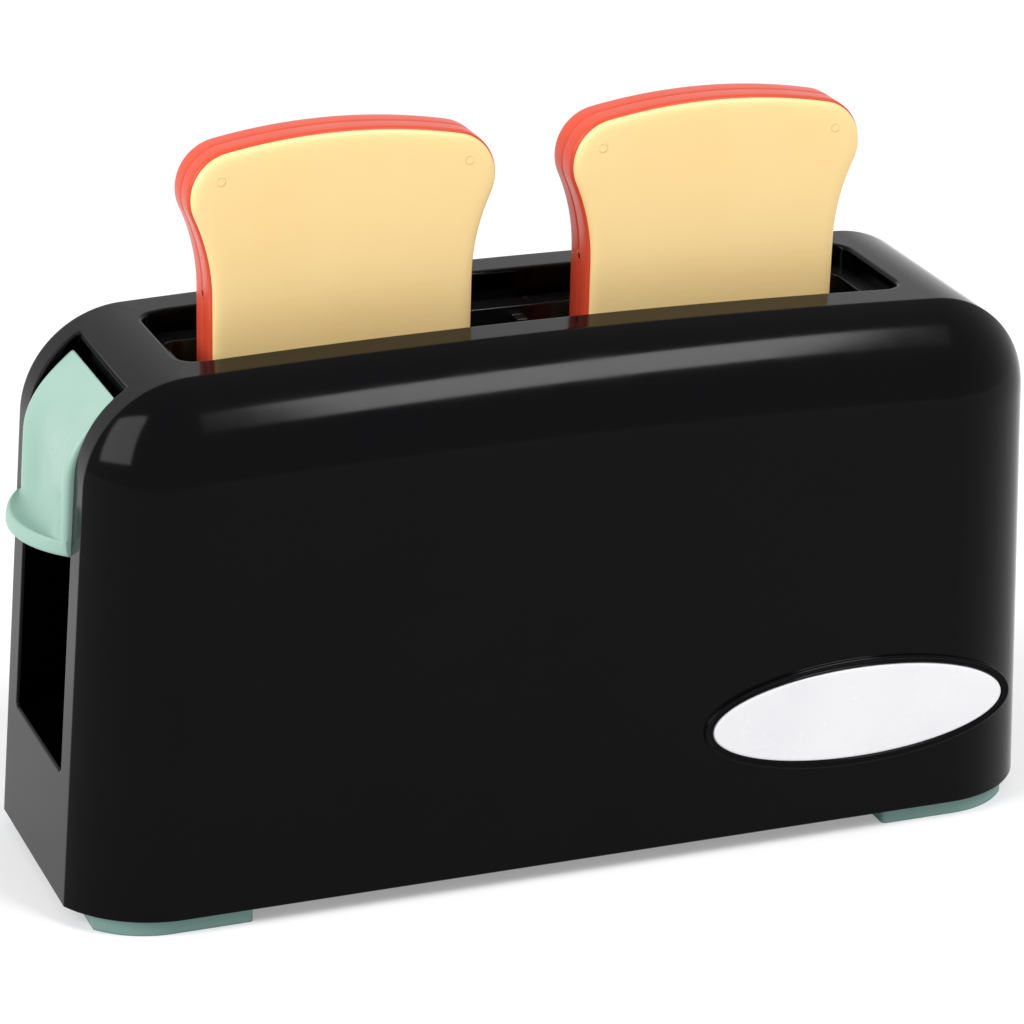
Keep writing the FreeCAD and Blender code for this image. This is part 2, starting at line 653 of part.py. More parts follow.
def make_feet():
    """Four pads with swept outer corners, each with a stud that is pressed into the base plate."""
    end = body_length / 2 - S.foot_end_inset
    side = S.body_depth / 2 - S.foot_side_inset
    inner_x = end - S.foot_length
    inner_y = side - S.foot_width
    corner = S.foot_corner
    length = S.foot_sweep_length
    depth = S.foot_sweep_depth
    # an arc tangent to the foot's long side
    sweep = (length * length + depth * depth) / (2 * depth)
    for label, sx, sy, stud_x, stud_y in foot_places():
        sketch = free_sketch(f"pad_{label}_outline", "XY")
        side_of = ("left", "right") if sx * sy > 0 else ("right", "left")
        outline(sketch, (sx * (inner_x + corner), sy * inner_y), [
            ("line", sx * (end - corner), sy * inner_y),
            ("arc", sx * end, sy * (inner_y + corner), corner, side_of[0]),
            ("line", sx * end, sy * (side - depth)),
            ("arc", sx * (end - length), sy * side, sweep, side_of[0]),
            ("line", sx * (inner_x + corner), sy * side),
            ("arc", sx * inner_x, sy * (side - corner), corner, side_of[0]),
            ("line", sx * inner_x, sy * (inner_y + corner)),
            ("arc", sx * (inner_x + corner), sy * inner_y, corner, side_of[0]),
        ])
        pad = extrude(f"pad_{label}", sketch, (0, 0, 1), bottom_edge)
        stud = rod(f"stud_{label}", S.stem_radius, base_top - S.end_gap, stud_x, stud_y, 0)
        node(fuse(f"foot_{label}_whole", [pad, stud]), f"foot_{label}")


def make_base_plate():
    inset = S.shell_wall + S.base_gap
    half = body_length
    slab = block("base_slab", (-half, half), (-half, half), (bottom_edge, base_top))
    plate = common("base_blank", pillow("base_form", inset), slab)
    seat_radius = S.rod_radius + S.socket_gap + S.socket_wall
    seats = [rod(f"seat_{side}", seat_radius, S.base_thickness + S.seat_height, x, 0, bottom_edge)
             for side, x in rod_places.items()]
    tools = [rod(f"seat_bore_{side}", S.rod_radius + S.socket_gap,
                 S.base_thickness + S.seat_height, x, 0, bottom_edge + S.socket_floor)
             for side, x in rod_places.items()]
    for count, (x, y, _) in enumerate(post_places()):
        tools.append(rod(f"base_hole_{count}", S.screw_radius + S.screw_gap,
                         S.base_thickness + OVERCUT, x, y, bottom_edge))
        tools.append(rod(f"base_sink_{count}", S.head_radius + S.head_gap,
                         S.head_sink + S.head_height, x, y, bottom_edge))
    for label, _, _, x, y in foot_places():
        tools.append(rod(f"stud_hole_{label}", S.stem_radius + S.socket_gap,
                         S.base_thickness + 2 * OVERCUT, x, y, bottom_edge - OVERCUT))
    return node(cut("base_whole", fuse("base_solid", [plate] + seats), tools), "base_plate")


def upright_screw(name, x, y, head_z, shank, length, head, head_height):
    """A pan-head screw that points up, with a cross recess in its head."""
    top = head_z + head_height
    parts = fuse(f"{name}_blank", [
        rod(f"{name}_head", head, head_height, x, y, head_z),
        rod(f"{name}_shank", shank, length, x, y, top),
    ])
    arms = []
    for count, (dx, dy) in enumerate(((S.cross_reach, S.cross_width / 2),
                                      (S.cross_width / 2, S.cross_reach))):
        arms.append(block(f"{name}_cross_{count}", (x - dx, x + dx), (y - dy, y + dy),
                          (head_z, head_z + S.cross_depth)))
    return cut(name, parts, arms)


def make_base_screws():
    screws = [upright_screw(f"base_screw_{count}", x, y, bottom_edge + S.head_sink,
                            S.screw_radius, S.screw_length, S.head_radius, S.head_height)
              for count, (x, y, _) in enumerate(post_places())]
    return node(fuse("base_screw_set", screws), "base_screws")


# ---------------------------------------------------------------- bread guide

def make_bread_guide():
    """The well that the slices sink into, hung from the housing's top by its flange."""
    wall = S.guide_wall
    middle = S.slot_centre
    flange_half_length = rod_reach + S.rod_radius + S.socket_gap + S.socket_wall / 2
    flange_half_width = slot_half_width + wall + S.flange_side
    flange = slot_block("flange", flange_half_length, flange_half_width,
                        (flange_bottom, flange_top), S.slot_radius)
    well = block("well_outside",
                 (middle - well_half_length - wall, middle + well_half_length + wall),
                 (-well_half_width - wall, well_half_width + wall), (well_bottom, flange_top))
    hollow = slot_block("well_inside", well_half_length, well_half_width,
                        (well_bottom - OVERCUT, flange_top + OVERCUT), S.slot_radius / 2)
    windows = block("end_windows",
                    (middle - well_half_length - wall - OVERCUT,
                     middle + well_half_length + wall + OVERCUT),
                    (-well_half_width, well_half_width),
                    (well_bottom - OVERCUT, flange_top - S.end_wall_depth))
    socket_radius = S.rod_radius + S.socket_gap + S.socket_wall
    sockets = [rod(f"socket_{side}", socket_radius, S.socket_depth, x, 0,
                   flange_bottom - S.socket_depth)
               for side, x in rod_places.items()]
    shell = cut("well_walls", fuse("well_solid", [flange, well] + sockets), [hollow, windows])
    ribs = []
    outside = well_half_width + wall / 2
    inside = well_half_width - S.rib_reach
    for label, y in (("front", (-outside, -inside)), ("back", (inside, outside))):
        ribs.append(block(f"rib_{label}",
                          (rib_middle - S.rib_width / 2, rib_middle + S.rib_width / 2),
                          y, (well_bottom, flange_bottom)))
    tools = [rod(f"socket_bore_{side}", S.rod_radius + S.socket_gap,
                 S.socket_depth + S.socket_floor, x, 0, flange_bottom - S.socket_depth)
             for side, x in rod_places.items()]
    for count, (x, y) in enumerate(guide_screw_places()):
        tools.append(rod(f"flange_hole_{count}", S.small_screw + S.screw_gap,
                         wall + 2 * OVERCUT, x, y, flange_bottom - OVERCUT))
    return node(cut("guide_whole", fuse("guide_solid", [shell] + ribs), tools), "bread_guide")


def make_guide_screws():
    screws = [upright_screw(f"guide_screw_{count}", x, y, flange_bottom - S.small_head_height,
                            S.small_screw, S.guide_screw_length, S.small_head,
                            S.small_head_height)
              for count, (x, y) in enumerate(guide_screw_places())]
    return node(fuse("guide_screw_set", screws), "guide_screws")


# ---------------------------------------------------------------- rods, springs and catch

def make_rods():
    low = bottom_edge + S.socket_floor
    high = flange_bottom + S.socket_floor - S.end_gap
    for side, x in rod_places.items():
        node(rod(f"rod_{side}", S.rod_radius, high - low, x, 0, low), f"guide_rod_{side}", x)


def make_springs():
    """Open coil springs round the rods, between their seats and the carriage's sleeves."""
    low = base_top + S.seat_height
    free_height = sleeve_bottom - low - 2 * S.wire_radius
    for side, x in rod_places.items():
        helix = doc.addObject("Part::Helix", f"coil_{side}")
        bind(helix, "Radius", S.spring_radius)
        bind(helix, "Height", free_height)
        bind(helix, "Pitch", free_height / S.spring_turns)
        place(helix, x, 0, low + S.wire_radius)
        ring = doc.addObject("Part::Circle", f"wire_{side}")
        bind(ring, "Radius", S.wire_radius)
        place(ring, x + S.spring_radius, 0, low + S.wire_radius, PLANES["XZ"])
        spring = doc.addObject("Part::Sweep", f"spring_{side}")
        spring.Sections = [ring]
        spring.Spine = (helix, ["Edge1"])
        spring.Solid = True
        spring.Frenet = True
        node(spring, f"return_spring_{side}")


def make_catch():
    """A spring clip on the base plate that grips the carriage's key when it is pressed down."""
    inside = S.key_thickness / 2 + S.jaw_gap
    outside = inside + S.jaw_thickness
    x = (rib_middle - S.key_half - S.jaw_thickness, rib_middle + S.key_half + S.jaw_thickness)
    foot = block("catch_plate", x, (-S.catch_foot, S.catch_foot),
                 (base_top, base_top + S.catch_floor))
    jaws = block("catch_jaws", x, (-outside, outside), (base_top, base_top + S.jaw_height))
    gap = block("catch_gap", (x[0] - OVERCUT, x[1] + OVERCUT), (-inside, inside),
                (base_top + S.catch_floor, base_top + S.jaw_height + OVERCUT))
    return node(cut("catch_whole", fuse("catch_solid", [foot, jaws]), [gap]), "catch_clip")


# ---------------------------------------------------------------- lever and carriage

def make_lever():
    """A dished plate that follows the housing's arch, with a thumb ledge at its lower end."""
    far = -body_length
    reach = (far, lever_end)
    upper = (lever_bottom, body_top + OVERCUT)
    front = place(arch_prism("lever_front", 0, lever_half), -S.lever_proud, 0, -S.lever_fall)
    back = arch_prism("lever_back", S.lever_back, lever_half + OVERCUT)
    plate = common("lever_plate", cut("lever_band", front, [back]),
                   block("lever_reach", reach, (-lever_half, lever_half), upper))
    dish_half = lever_half - S.lever_rim
    dish_floor = place(arch_prism("dish_floor", 0, lever_half + OVERCUT),
                       S.dish_sink, 0, -S.dish_fall)
    dish_zone = block("dish_zone", (far, 0), (-dish_half, dish_half),
                      (lever_bottom + S.thumb_floor, body_top + OVERCUT))
    dish = cut("lever_dish", dish_zone, [dish_floor])
    # the thumb ledge is a slice of a large disc whose edge stands out of the housing's end
    sagitta = S.ledge_reach
    disc_radius = (lever_half * lever_half + sagitta * sagitta) / (2 * sagitta)
    tip = -body_length / 2 - S.ledge_reach / 2
    disc_centre = tip + disc_radius
    disc = rod("thumb_disc", disc_radius, S.thumb_height, disc_centre, 0, lever_bottom)
    zone = block("thumb_zone", (far, lever_end - S.boss_reach), (-lever_half, lever_half),
                 (lever_bottom, lever_bottom + S.thumb_height))
    thumb = common("thumb_ledge", disc, zone)
    hollow = common("thumb_hollow", rod("thumb_hollow_disc", disc_radius - S.lever_rim,
                    S.thumb_height, disc_centre, 0, lever_bottom + S.thumb_floor),
                    block("thumb_hollow_zone", (far, 0), (-dish_half, dish_half), upper))
    hollow = cut("thumb_hollow_clear", hollow, [dish_floor])
    boss = block("lever_boss", (lever_end - S.boss_reach, arm_face),
                 (-S.boss_half, S.boss_half), (lever_bottom, arm_top))
    whole = fuse("lever_whole", [plate, thumb, boss])
    pilots = [rod(f"lever_pilot_{count}", S.small_screw + S.screw_gap, S.lever_screw_bite,
                  arm_face - S.lever_screw_bite, 0, z, along="x")
              for count, z in enumerate(lever_screw_heights())]
    return node(cut("lever_part", whole, [dish, hollow] + pilots), "lever")


def lever_screw_heights():
    low = lever_bottom + S.lever_screw_low
    return [low, low + S.lever_screw_pitch]


def make_lever_screws():
    head_face = rod_places["left"] - S.lever_head_step
    head_seat = head_face - S.small_head_height
    shank_length = head_seat - arm_face + S.lever_screw_bite
    screws = []
    for count, z in enumerate(lever_screw_heights()):
        blank = fuse(f"lever_screw_{count}_blank", [
            rod(f"lever_screw_{count}_head", S.small_head, S.small_head_height,
                head_seat, 0, z, along="x"),
            rod(f"lever_screw_{count}_shank", S.small_screw, shank_length,
                arm_face - S.lever_screw_bite, 0, z, along="x"),
        ])
        arms = []
        for turn, (dy, dz) in enumerate(((S.cross_reach, S.cross_width / 2),
                                         (S.cross_width / 2, S.cross_reach))):
            arms.append(block(f"lever_screw_{count}_cross_{turn}",
                              (head_face - S.cross_depth, head_face), (-dy, dy),
                              (z - dz, z + dz)))
        screws.append(cut(f"lever_screw_{count}", blank, arms))
    return node(fuse("lever_screw_set", screws), "lever_screws")


def make_carriage():
    """A bar with two trays, a sleeve at each end, the arm for the lever and the catch's key."""
    parts = [block("bar", (rod_places["left"], rod_places["right"]), (-S.bar_half, S.bar_half),
                   (bar_bottom, bar_top))]
    half_x = S.toast_foot_half + S.tray_gap
    half_y = toast_thickness / 2 + S.tray_gap
    hollows = []
    for side, middle in toast_middles.items():
        parts.append(rounded_block(
            f"tray_{side}",
            (middle - half_x - S.tray_wall, middle + half_x + S.tray_wall),
            (-half_y - S.tray_wall, half_y + S.tray_wall),
            (bar_top, bar_top + S.tray_floor + S.tray_rim), S.tray_wall))
        hollows.append(block(f"tray_hollow_{side}", (middle - half_x, middle + half_x),
                             (-half_y, half_y),
                             (bar_top + S.tray_floor, bar_top + S.tray_floor + S.tray_rim + OVERCUT)))
    for side, x in rod_places.items():
        parts.append(rod(f"sleeve_{side}", S.sleeve_radius, S.sleeve_length, x, 0, sleeve_bottom))
        hollows.append(rod(f"sleeve_bore_{side}", S.rod_radius + S.running_gap,
                           S.sleeve_length + 2 * OVERCUT, x, 0, sleeve_bottom - OVERCUT))
    head_face = rod_places["left"] - S.lever_head_step
    parts.append(block("arm", (arm_face, head_face), (-S.arm_half, S.arm_half),
                       (lever_bottom, arm_top)))
    parts.append(block("arm_root", (arm_face, rod_places["left"]), (-S.arm_half, S.arm_half),
                       (lever_bottom, sleeve_bottom + S.sleeve_length)))
    parts.append(block("key", (rib_middle - S.key_half, rib_middle + S.key_half),
                       (-S.key_thickness / 2, S.key_thickness / 2),
                       (bar_bottom - S.key_height, bar_bottom)))
    for count, z in enumerate(lever_screw_heights()):
        hollows.append(rod(f"arm_hole_{count}", S.small_screw + S.screw_gap, body_length,
                           arm_face - OVERCUT, 0, z, along="x"))
        hollows.append(rod(f"arm_sink_{count}", S.small_head + S.head_gap,
                           body_length, head_face - S.small_head_height, 0, z, along="x"))
    return node(cut("carriage_part", fuse("carriage_solid", parts), hollows), "carriage")


# ---------------------------------------------------------------- badge and slices

def make_badge():
    face = front_face - S.bezel_rise + S.badge_gap
    return node(oval("badge_slab", S.badge_half_length, S.badge_half_height,
                     face, face + S.badge_thickness), "badge_plate")


def draw_slice(sketch, middle, inset):
    """The slice's outline: straight sides, hollow flares, round shoulders and a crowned top."""
    low = lift_height + inset
    top = lift_height + S.toast_height - inset
    corner = S.toast_corner_radius - inset
    foot = S.toast_foot_half - inset
    neck = lift_height + S.toast_neck_height
    radius = S.toast_shoulder_radius - inset
    shoulder_x = S.toast_half_width - S.toast_shoulder_radius
    shoulder_z = lift_height + S.toast_height - S.toast_shoulder_drop
    # the flare leaves the straight side and meets the shoulder without a corner
    aside = foot - shoulder_x
    above = shoulder_z - neck
    flare = (aside * aside + above * above - radius * radius) / (2 * (radius - aside))
    share = flare / (flare + radius)
    flare_x = foot + flare + (shoulder_x - foot - flare) * share
    flare_z = neck + above * share
    # so does the crowned top
    rise = top - shoulder_z
    crown = (shoulder_x * shoulder_x + rise * rise - radius * radius) / (2 * (rise - radius))
    share = crown / (crown - radius)
    crown_x = shoulder_x * share
    crown_z = top - crown + (crown - rise) * share
    outline(sketch, (middle - foot + corner, low), [
        ("line", middle + foot - corner, low),
        ("arc", middle + foot, low + corner, corner, "left"),
        ("line", middle + foot, neck),
        ("arc", middle + flare_x, flare_z, flare, "right"),
        ("arc", middle + crown_x, crown_z, radius, "left"),
        ("arc", middle - crown_x, crown_z, crown, "left"),
        ("arc", middle - flare_x, flare_z, radius, "left"),
        ("arc", middle - foot, neck, flare, "right"),
        ("line", middle - foot, low + corner),
        ("arc", middle - foot + corner, low, corner, "left"),
    ])
    return sketch


def slice_layer(name, label, middle, inset, back_y, thickness):
    """One layer of a slice: a pad on the body's XZ plane, whose normal is -Y."""
    body = doc.addObject("PartDesign::Body", name)
    sketch = body_sketch(body, f"{name}_outline", "XZ_Plane", -as_size(back_y))
    draw_slice(sketch, middle, as_size(inset))
    pad = body.newObject("PartDesign::Pad", f"{name}_pad")
    pad.Profile = sketch
    bind(pad, "Length", thickness)
    sketch.Visibility = False
    doc.recompute()
    return node(body, label)


def make_slices():
    half = S.crust_thickness / 2
    crumb = S.crumb_thickness
    for side, middle in toast_middles.items():
        label = f"toast_{side}"
        slice_layer(f"crust_{side}", f"{label}_crust", middle, 0, half, S.crust_thickness)
        slice_layer(f"front_{side}", f"{label}_front", middle, S.crumb_inset, -half, crumb)
        slice_layer(f"back_{side}", f"{label}_back", middle, S.crumb_inset, half + crumb, crumb)


# ---------------------------------------------------------------- build, check and write

make_housing()
make_base_plate()
make_feet()
make_base_screws()
make_bread_guide()
make_guide_screws()
make_rods()
make_springs()
make_catch()
make_lever()
make_lever_screws()
make_carriage()
make_badge()
make_slices()
doc.recompute()

failed = [item.Name for item in doc.Objects if "Invalid" in item.State or "Error" in item.State]
if failed:
    raise RuntimeError(f"these objects failed: {failed}")
for item in NODES:
    if item.Shape.isNull() or not item.Shape.isValid():
        raise RuntimeError(f"{item.Label} has no valid shape")

os.makedirs("parts", exist_ok=True)
for item in NODES:
    item.Shape.exportStep(f"parts/{item.Label}.step")
    box = item.Shape.BoundBox
    print(f"{item.Label}: {len(item.Shape.Solids)} solids, {item.Shape.Volume:.1f} mm3, "
          f"x {box.XMin:.1f}..{box.XMax:.1f} y {box.YMin:.1f}..{box.YMax:.1f} "
          f"z {box.ZMin:.1f}..{box.ZMax:.1f}")
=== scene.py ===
import math

import bmesh
import bpy
from mathutils import Matrix, Vector


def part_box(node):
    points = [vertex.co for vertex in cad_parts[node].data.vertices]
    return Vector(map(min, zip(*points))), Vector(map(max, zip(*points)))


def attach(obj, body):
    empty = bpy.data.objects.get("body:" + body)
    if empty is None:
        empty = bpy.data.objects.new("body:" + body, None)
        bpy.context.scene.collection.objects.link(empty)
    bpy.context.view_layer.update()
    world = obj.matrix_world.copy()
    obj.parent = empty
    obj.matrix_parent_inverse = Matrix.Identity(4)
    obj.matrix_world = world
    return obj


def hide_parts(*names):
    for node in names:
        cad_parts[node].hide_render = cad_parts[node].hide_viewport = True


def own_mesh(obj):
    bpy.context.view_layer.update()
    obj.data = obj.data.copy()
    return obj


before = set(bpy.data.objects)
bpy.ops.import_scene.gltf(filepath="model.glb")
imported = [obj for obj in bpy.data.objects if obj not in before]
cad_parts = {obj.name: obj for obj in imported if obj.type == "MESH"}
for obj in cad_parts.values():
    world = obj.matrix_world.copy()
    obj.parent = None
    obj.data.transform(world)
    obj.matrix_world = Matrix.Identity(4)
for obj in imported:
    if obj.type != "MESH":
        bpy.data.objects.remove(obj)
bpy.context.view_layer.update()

MM = 0.001  # lengths are in millimetres, except where metres are named

scene = bpy.context.scene
scene.view_settings.view_transform = "Standard"


# ---------------------------------------------------------------- materials

# scales of the noise textures, in patterns to a metre
CLOUDS = 35.0
RUBS = 260.0
SATIN = 90.0
GRAIN = 1500.0
WAVES = 22.0
SPOTS = 160.0
DRAWN_LINES = 700.0
PAPER = 40.0

RUB_STRETCH = (1.0, 0.35, 0.35)
RUB_SPAN = (0.16, 0.24)  # past a plastic's own threshold, where a rubbed mark starts and is full
RUB_ROUGHNESS = 0.03  # that a rubbed mark adds
FINE_BUMP = 0.05 * MM  # metres, of the grain and the drawn lines
WAVE_BUMP = 0.3 * MM  # metres
WAVE_STRENGTH = 0.06
LINE_STRENGTH = 0.12
METAL_EDGE = 0.15  # radius that a metal's edges shade with


def linear(red, green, blue):
    """A colour as it looks on a screen, 0 to 255, in the renderer's own numbers."""
    def channel(value):
        value = value / 255
        return value / 12.92 if value <= 0.04045 else ((value + 0.055) / 1.055) ** 2.4
    return channel(red), channel(green), channel(blue), 1.0


class Nodes:
    """A material's node tree, with short ways to add the nodes used here."""

    def __init__(self, name):
        self.material = bpy.data.materials.new(name)
        self.material.use_nodes = True
        self.tree = self.material.node_tree
        self.shader = self.tree.nodes["Principled BSDF"]
        self.place = self.add("ShaderNodeTexCoord").outputs["Object"]

    def add(self, kind, **settings):
        item = self.tree.nodes.new(kind)
        for key, value in settings.items():
            setattr(item, key, value)
        return item

    def link(self, source, target):
        self.tree.links.new(source, target)

    def noise(self, scale, detail, stretch=None, rough=0.55):
        item = self.add("ShaderNodeTexNoise")
        item.inputs["Scale"].default_value = scale
        item.inputs["Detail"].default_value = detail
        item.inputs["Roughness"].default_value = rough
        place = self.place
        if stretch:
            mapping = self.add("ShaderNodeMapping")
            mapping.inputs["Scale"].default_value = stretch
            self.link(place, mapping.inputs["Vector"])
            place = mapping.outputs["Vector"]
        self.link(place, item.inputs["Vector"])
        return item.outputs["Fac"]

    def spread(self, source, low, high, start=0.3, end=0.7):
        """Carry a value's range from start..end over to low..high."""
        item = self.add("ShaderNodeMapRange")
        item.inputs["From Min"].default_value = start
        item.inputs["From Max"].default_value = end
        item.inputs["To Min"].default_value = low
        item.inputs["To Max"].default_value = high
        self.link(source, item.inputs["Value"])
        return item.outputs["Result"]

    def blend(self, amount, first, second):
        """Mix two colours, each a value or another node's output."""
        item = self.add("ShaderNodeMix", data_type="RGBA")
        self.link(amount, item.inputs["Factor"])
        for socket, colour in ((item.inputs["A"], first), (item.inputs["B"], second)):
            if isinstance(colour, tuple):
                socket.default_value = colour
            else:
                self.link(colour, socket)
        return item.outputs["Result"]

    def maths(self, operation, first, second):
        """Join a node's output with a number or with another node's output."""
        item = self.add("ShaderNodeMath", operation=operation)
        self.link(first, item.inputs[0])
        if isinstance(second, float):
            item.inputs[1].default_value = second
        else:
            self.link(second, item.inputs[1])
        return item.outputs["Value"]

    def bump(self, height, strength, distance, normal):
        item = self.add("ShaderNodeBump")
        item.inputs["Strength"].default_value = strength
        item.inputs["Distance"].default_value = distance
        self.link(height, item.inputs["Height"])
        self.link(normal, item.inputs["Normal"])
        return item.outputs["Normal"]

    def rounded(self, radius):
        """The edges shade as if rounded by this radius, in millimetres."""
        item = self.add("ShaderNodeBevel", samples=6)
        item.inputs["Radius"].default_value = radius * MM
        return item.outputs["Normal"]


def plastic(name, tone, shade, roughness, specular, grain, edge, worn_from, wear, dust):
    """Moulded plastic: faint colour clouds, a satin grain, fine rubbed marks and rounded edges."""
    nodes = Nodes(name)
    clouds = nodes.noise(CLOUDS, 4.0)
    colour = nodes.blend(nodes.spread(clouds, 0.0, 1.0), linear(*tone), linear(*shade))
    rubs = nodes.noise(RUBS, 6.0, stretch=RUB_STRETCH, rough=0.7)
    marks = nodes.spread(rubs, 0.0, 1.0, worn_from + RUB_SPAN[0], worn_from + RUB_SPAN[1])
    colour = nodes.blend(nodes.maths("MULTIPLY", marks, wear), colour, linear(*dust))
    nodes.link(colour, nodes.shader.inputs["Base Color"])
    satin = nodes.spread(nodes.noise(SATIN, 5.0), *roughness)
    satin = nodes.maths("ADD", satin, nodes.maths("MULTIPLY", marks, RUB_ROUGHNESS))
    nodes.link(satin, nodes.shader.inputs["Roughness"])
    nodes.shader.inputs["Specular IOR Level"].default_value = specular
    soft = nodes.rounded(edge)
    fine = nodes.bump(nodes.noise(GRAIN, 2.0), grain, FINE_BUMP, soft)
    waves = nodes.bump(nodes.noise(WAVES, 1.0), WAVE_STRENGTH, WAVE_BUMP, fine)
    nodes.link(waves, nodes.shader.inputs["Normal"])
    return nodes.material


def metal(name, tone, shade, roughness, stretch=None):
    """Bright metal with drawn or turned lines and dull spots."""
    nodes = Nodes(name)
    spots = nodes.noise(SPOTS, 5.0)
    nodes.link(nodes.blend(nodes.spread(spots, 0.0, 1.0), linear(*tone), linear(*shade)),
               nodes.shader.inputs["Base Color"])
    nodes.shader.inputs["Metallic"].default_value = 1.0
    lines = nodes.noise(DRAWN_LINES, 3.0, stretch=stretch)
    nodes.link(nodes.spread(lines, *roughness), nodes.shader.inputs["Roughness"])
    normal = nodes.bump(lines, LINE_STRENGTH, FINE_BUMP, nodes.rounded(METAL_EDGE))
    nodes.link(normal, nodes.shader.inputs["Normal"])
    return nodes.material


# tone and shade are a plastic's two cloud colours, dust is the colour of its rubbed marks and
# wear their strength; more is rubbed where worn_from is low
PLASTICS = {
    "shell_black": dict(
        tone=(2, 2, 3), shade=(1, 1, 3), roughness=(0.09, 0.14), specular=0.08,
        grain=0.02, edge=0.3, worn_from=0.5, wear=0.25, dust=(10, 10, 12)),
    "inner_black": dict(
        tone=(18, 18, 20), shade=(12, 12, 14), roughness=(0.2, 0.3), specular=0.5,
        grain=0.08, edge=0.4, worn_from=0.47, wear=0.35, dust=(60, 60, 62)),
    "mint_plastic": dict(
        tone=(149, 181, 169), shade=(143, 177, 164), roughness=(0.27, 0.36), specular=0.35,
        grain=0.05, edge=0.5, worn_from=0.53, wear=0.12, dust=(186, 214, 204)),
    "feet_mint": dict(
        tone=(116, 148, 139), shade=(108, 140, 131), roughness=(0.42, 0.55), specular=0.35,
        grain=0.08, edge=0.6, worn_from=0.46, wear=0.4, dust=(120, 150, 142)),
    "carriage_grey": dict(
        tone=(120, 122, 126), shade=(108, 110, 115), roughness=(0.35, 0.5), specular=0.4,
        grain=0.07, edge=0.4, worn_from=0.47, wear=0.3, dust=(150, 151, 154)),
    "catch_plastic": dict(
        tone=(206, 204, 196), shade=(196, 193, 184), roughness=(0.35, 0.45), specular=0.4,
        grain=0.05, edge=0.3, worn_from=0.47, wear=0.3, dust=(170, 168, 160)),
    "crust_plastic": dict(
        tone=(212, 78, 52), shade=(206, 73, 48), roughness=(0.26, 0.34), specular=0.18,
        grain=0.04, edge=0.5, worn_from=0.5, wear=0.12, dust=(236, 124, 102)),
    "crumb_plastic": dict(
        tone=(250, 218, 154), shade=(247, 213, 147), roughness=(0.3, 0.38), specular=0.3,
        grain=0.04, edge=0.4, worn_from=0.5, wear=0.1, dust=(252, 228, 175)),
    "badge_silver": dict(
        tone=(236, 236, 238), shade=(228, 228, 231), roughness=(0.22, 0.3), specular=0.5,
        grain=0.03, edge=0.3, worn_from=0.5, wear=0.15, dust=(210, 210, 214)),
}
METALS = {
    "rod_steel": dict(tone=(205, 207, 210), shade=(188, 190, 194), roughness=(0.16, 0.28),
                      stretch=(1.0, 1.0, 0.05)),
    "spring_steel": dict(tone=(186, 188, 192), shade=(160, 162, 168), roughness=(0.22, 0.38)),
    "screw_steel": dict(tone=(178, 180, 184), shade=(150, 152, 157), roughness=(0.25, 0.42)),
}
FINISHES = {name: plastic(name, **look) for name, look in PLASTICS.items()}
FINISHES.update({name: metal(name, **look) for name, look in METALS.items()})


# ---------------------------------------------------------------- meshes

SAME_POINT = 1e-7  # metres, within which two points are one
OVAL_STEPS = 120


def add_piece(name, vertices, faces, finish, body, nodes, sharp=40.0):
    """A mesh of points in millimetres, smooth except where two faces meet at a sharp angle."""
    mesh = bpy.data.meshes.new(name)
    mesh.from_pydata([Vector(point) * MM for point in vertices], [], faces)
    work = bmesh.new()
    work.from_mesh(mesh)
    bmesh.ops.remove_doubles(work, verts=work.verts, dist=SAME_POINT)
    bmesh.ops.recalc_face_normals(work, faces=work.faces)
    for edge in work.edges:
        edge.smooth = len(edge.link_faces) == 2 and edge.calc_face_angle() < math.radians(sharp)
    for face in work.faces:
        face.smooth = True
    work.to_mesh(mesh)
    work.free()
    mesh.materials.append(FINISHES[finish])
    piece = bpy.data.objects.new(name, mesh)
    scene.collection.objects.link(piece)
    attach(piece, body)
    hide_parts(*nodes)
    return piece


def loft(rings):
    """Faces between closed rings of equally many points, with both ends closed."""
    count = len(rings[0])
    vertices = [point for ring in rings for point in ring]
    faces = []
    for level in range(len(rings) - 1):
        for here in range(count):
            after = (here + 1) % count
            faces.append((level * count + here, level * count + after,
                          (level + 1) * count + after, (level + 1) * count + here))
    last = (len(rings) - 1) * count
    faces.append(tuple(reversed(range(count))))
    faces.append(tuple(range(last, last + count)))
    return vertices, faces


def grid(vertices, faces, columns):
    """Add the faces between neighbouring columns of equally many points."""
    for left, right in zip(columns, columns[1:]):
        for here in range(len(left) - 1):
            first = len(vertices)
            vertices += [left[here], left[here + 1], right[here + 1], right[here]]
            faces.append((first, first + 1, first + 2, first + 3))


def box_faces(vertices, faces, low, high):
    """Add the six faces of a box."""
    first = len(vertices)
    for z in (low[2], high[2]):
        vertices += [(low[0], low[1], z), (high[0], low[1], z), (high[0], high[1], z),
                     (low[0], high[1], z)]
    for corners in ((0, 3, 2, 1), (4, 5, 6, 7), (0, 1, 5, 4), (1, 2, 6, 5), (2, 3, 7, 6),
                    (3, 0, 4, 7)):
        faces.append(tuple(first + corner for corner in corners))


def arc(centre, radius, start, end, steps):
    """Points on an arc from one angle up to, but without, another, in degrees."""
    points = []
    for step in range(steps):
        angle = math.radians(start + (end - start) * step / steps)
        points.append((centre[0] + radius * math.cos(angle), centre[1] + radius * math.sin(angle)))
    return points


def oval_ring(cx, cz, half_x, half_z, y):
    turn = 2 * math.pi / OVAL_STEPS
    return [(cx + half_x * math.cos(turn * step), y, cz + half_z * math.sin(turn * step))
            for step in range(OVAL_STEPS)]


def steps_between(low, high, pitch):
    """Even steps from one value up to, but without, another, about a pitch apart."""
    count = max(1, round((high - low) / pitch))
    return [low + (high - low) * step / count for step in range(count)]


def ease(value):
    """A smooth change from 0 to 1."""
    value = min(max(value, 0.0), 1.0)
    return value * value * (3.0 - 2.0 * value)


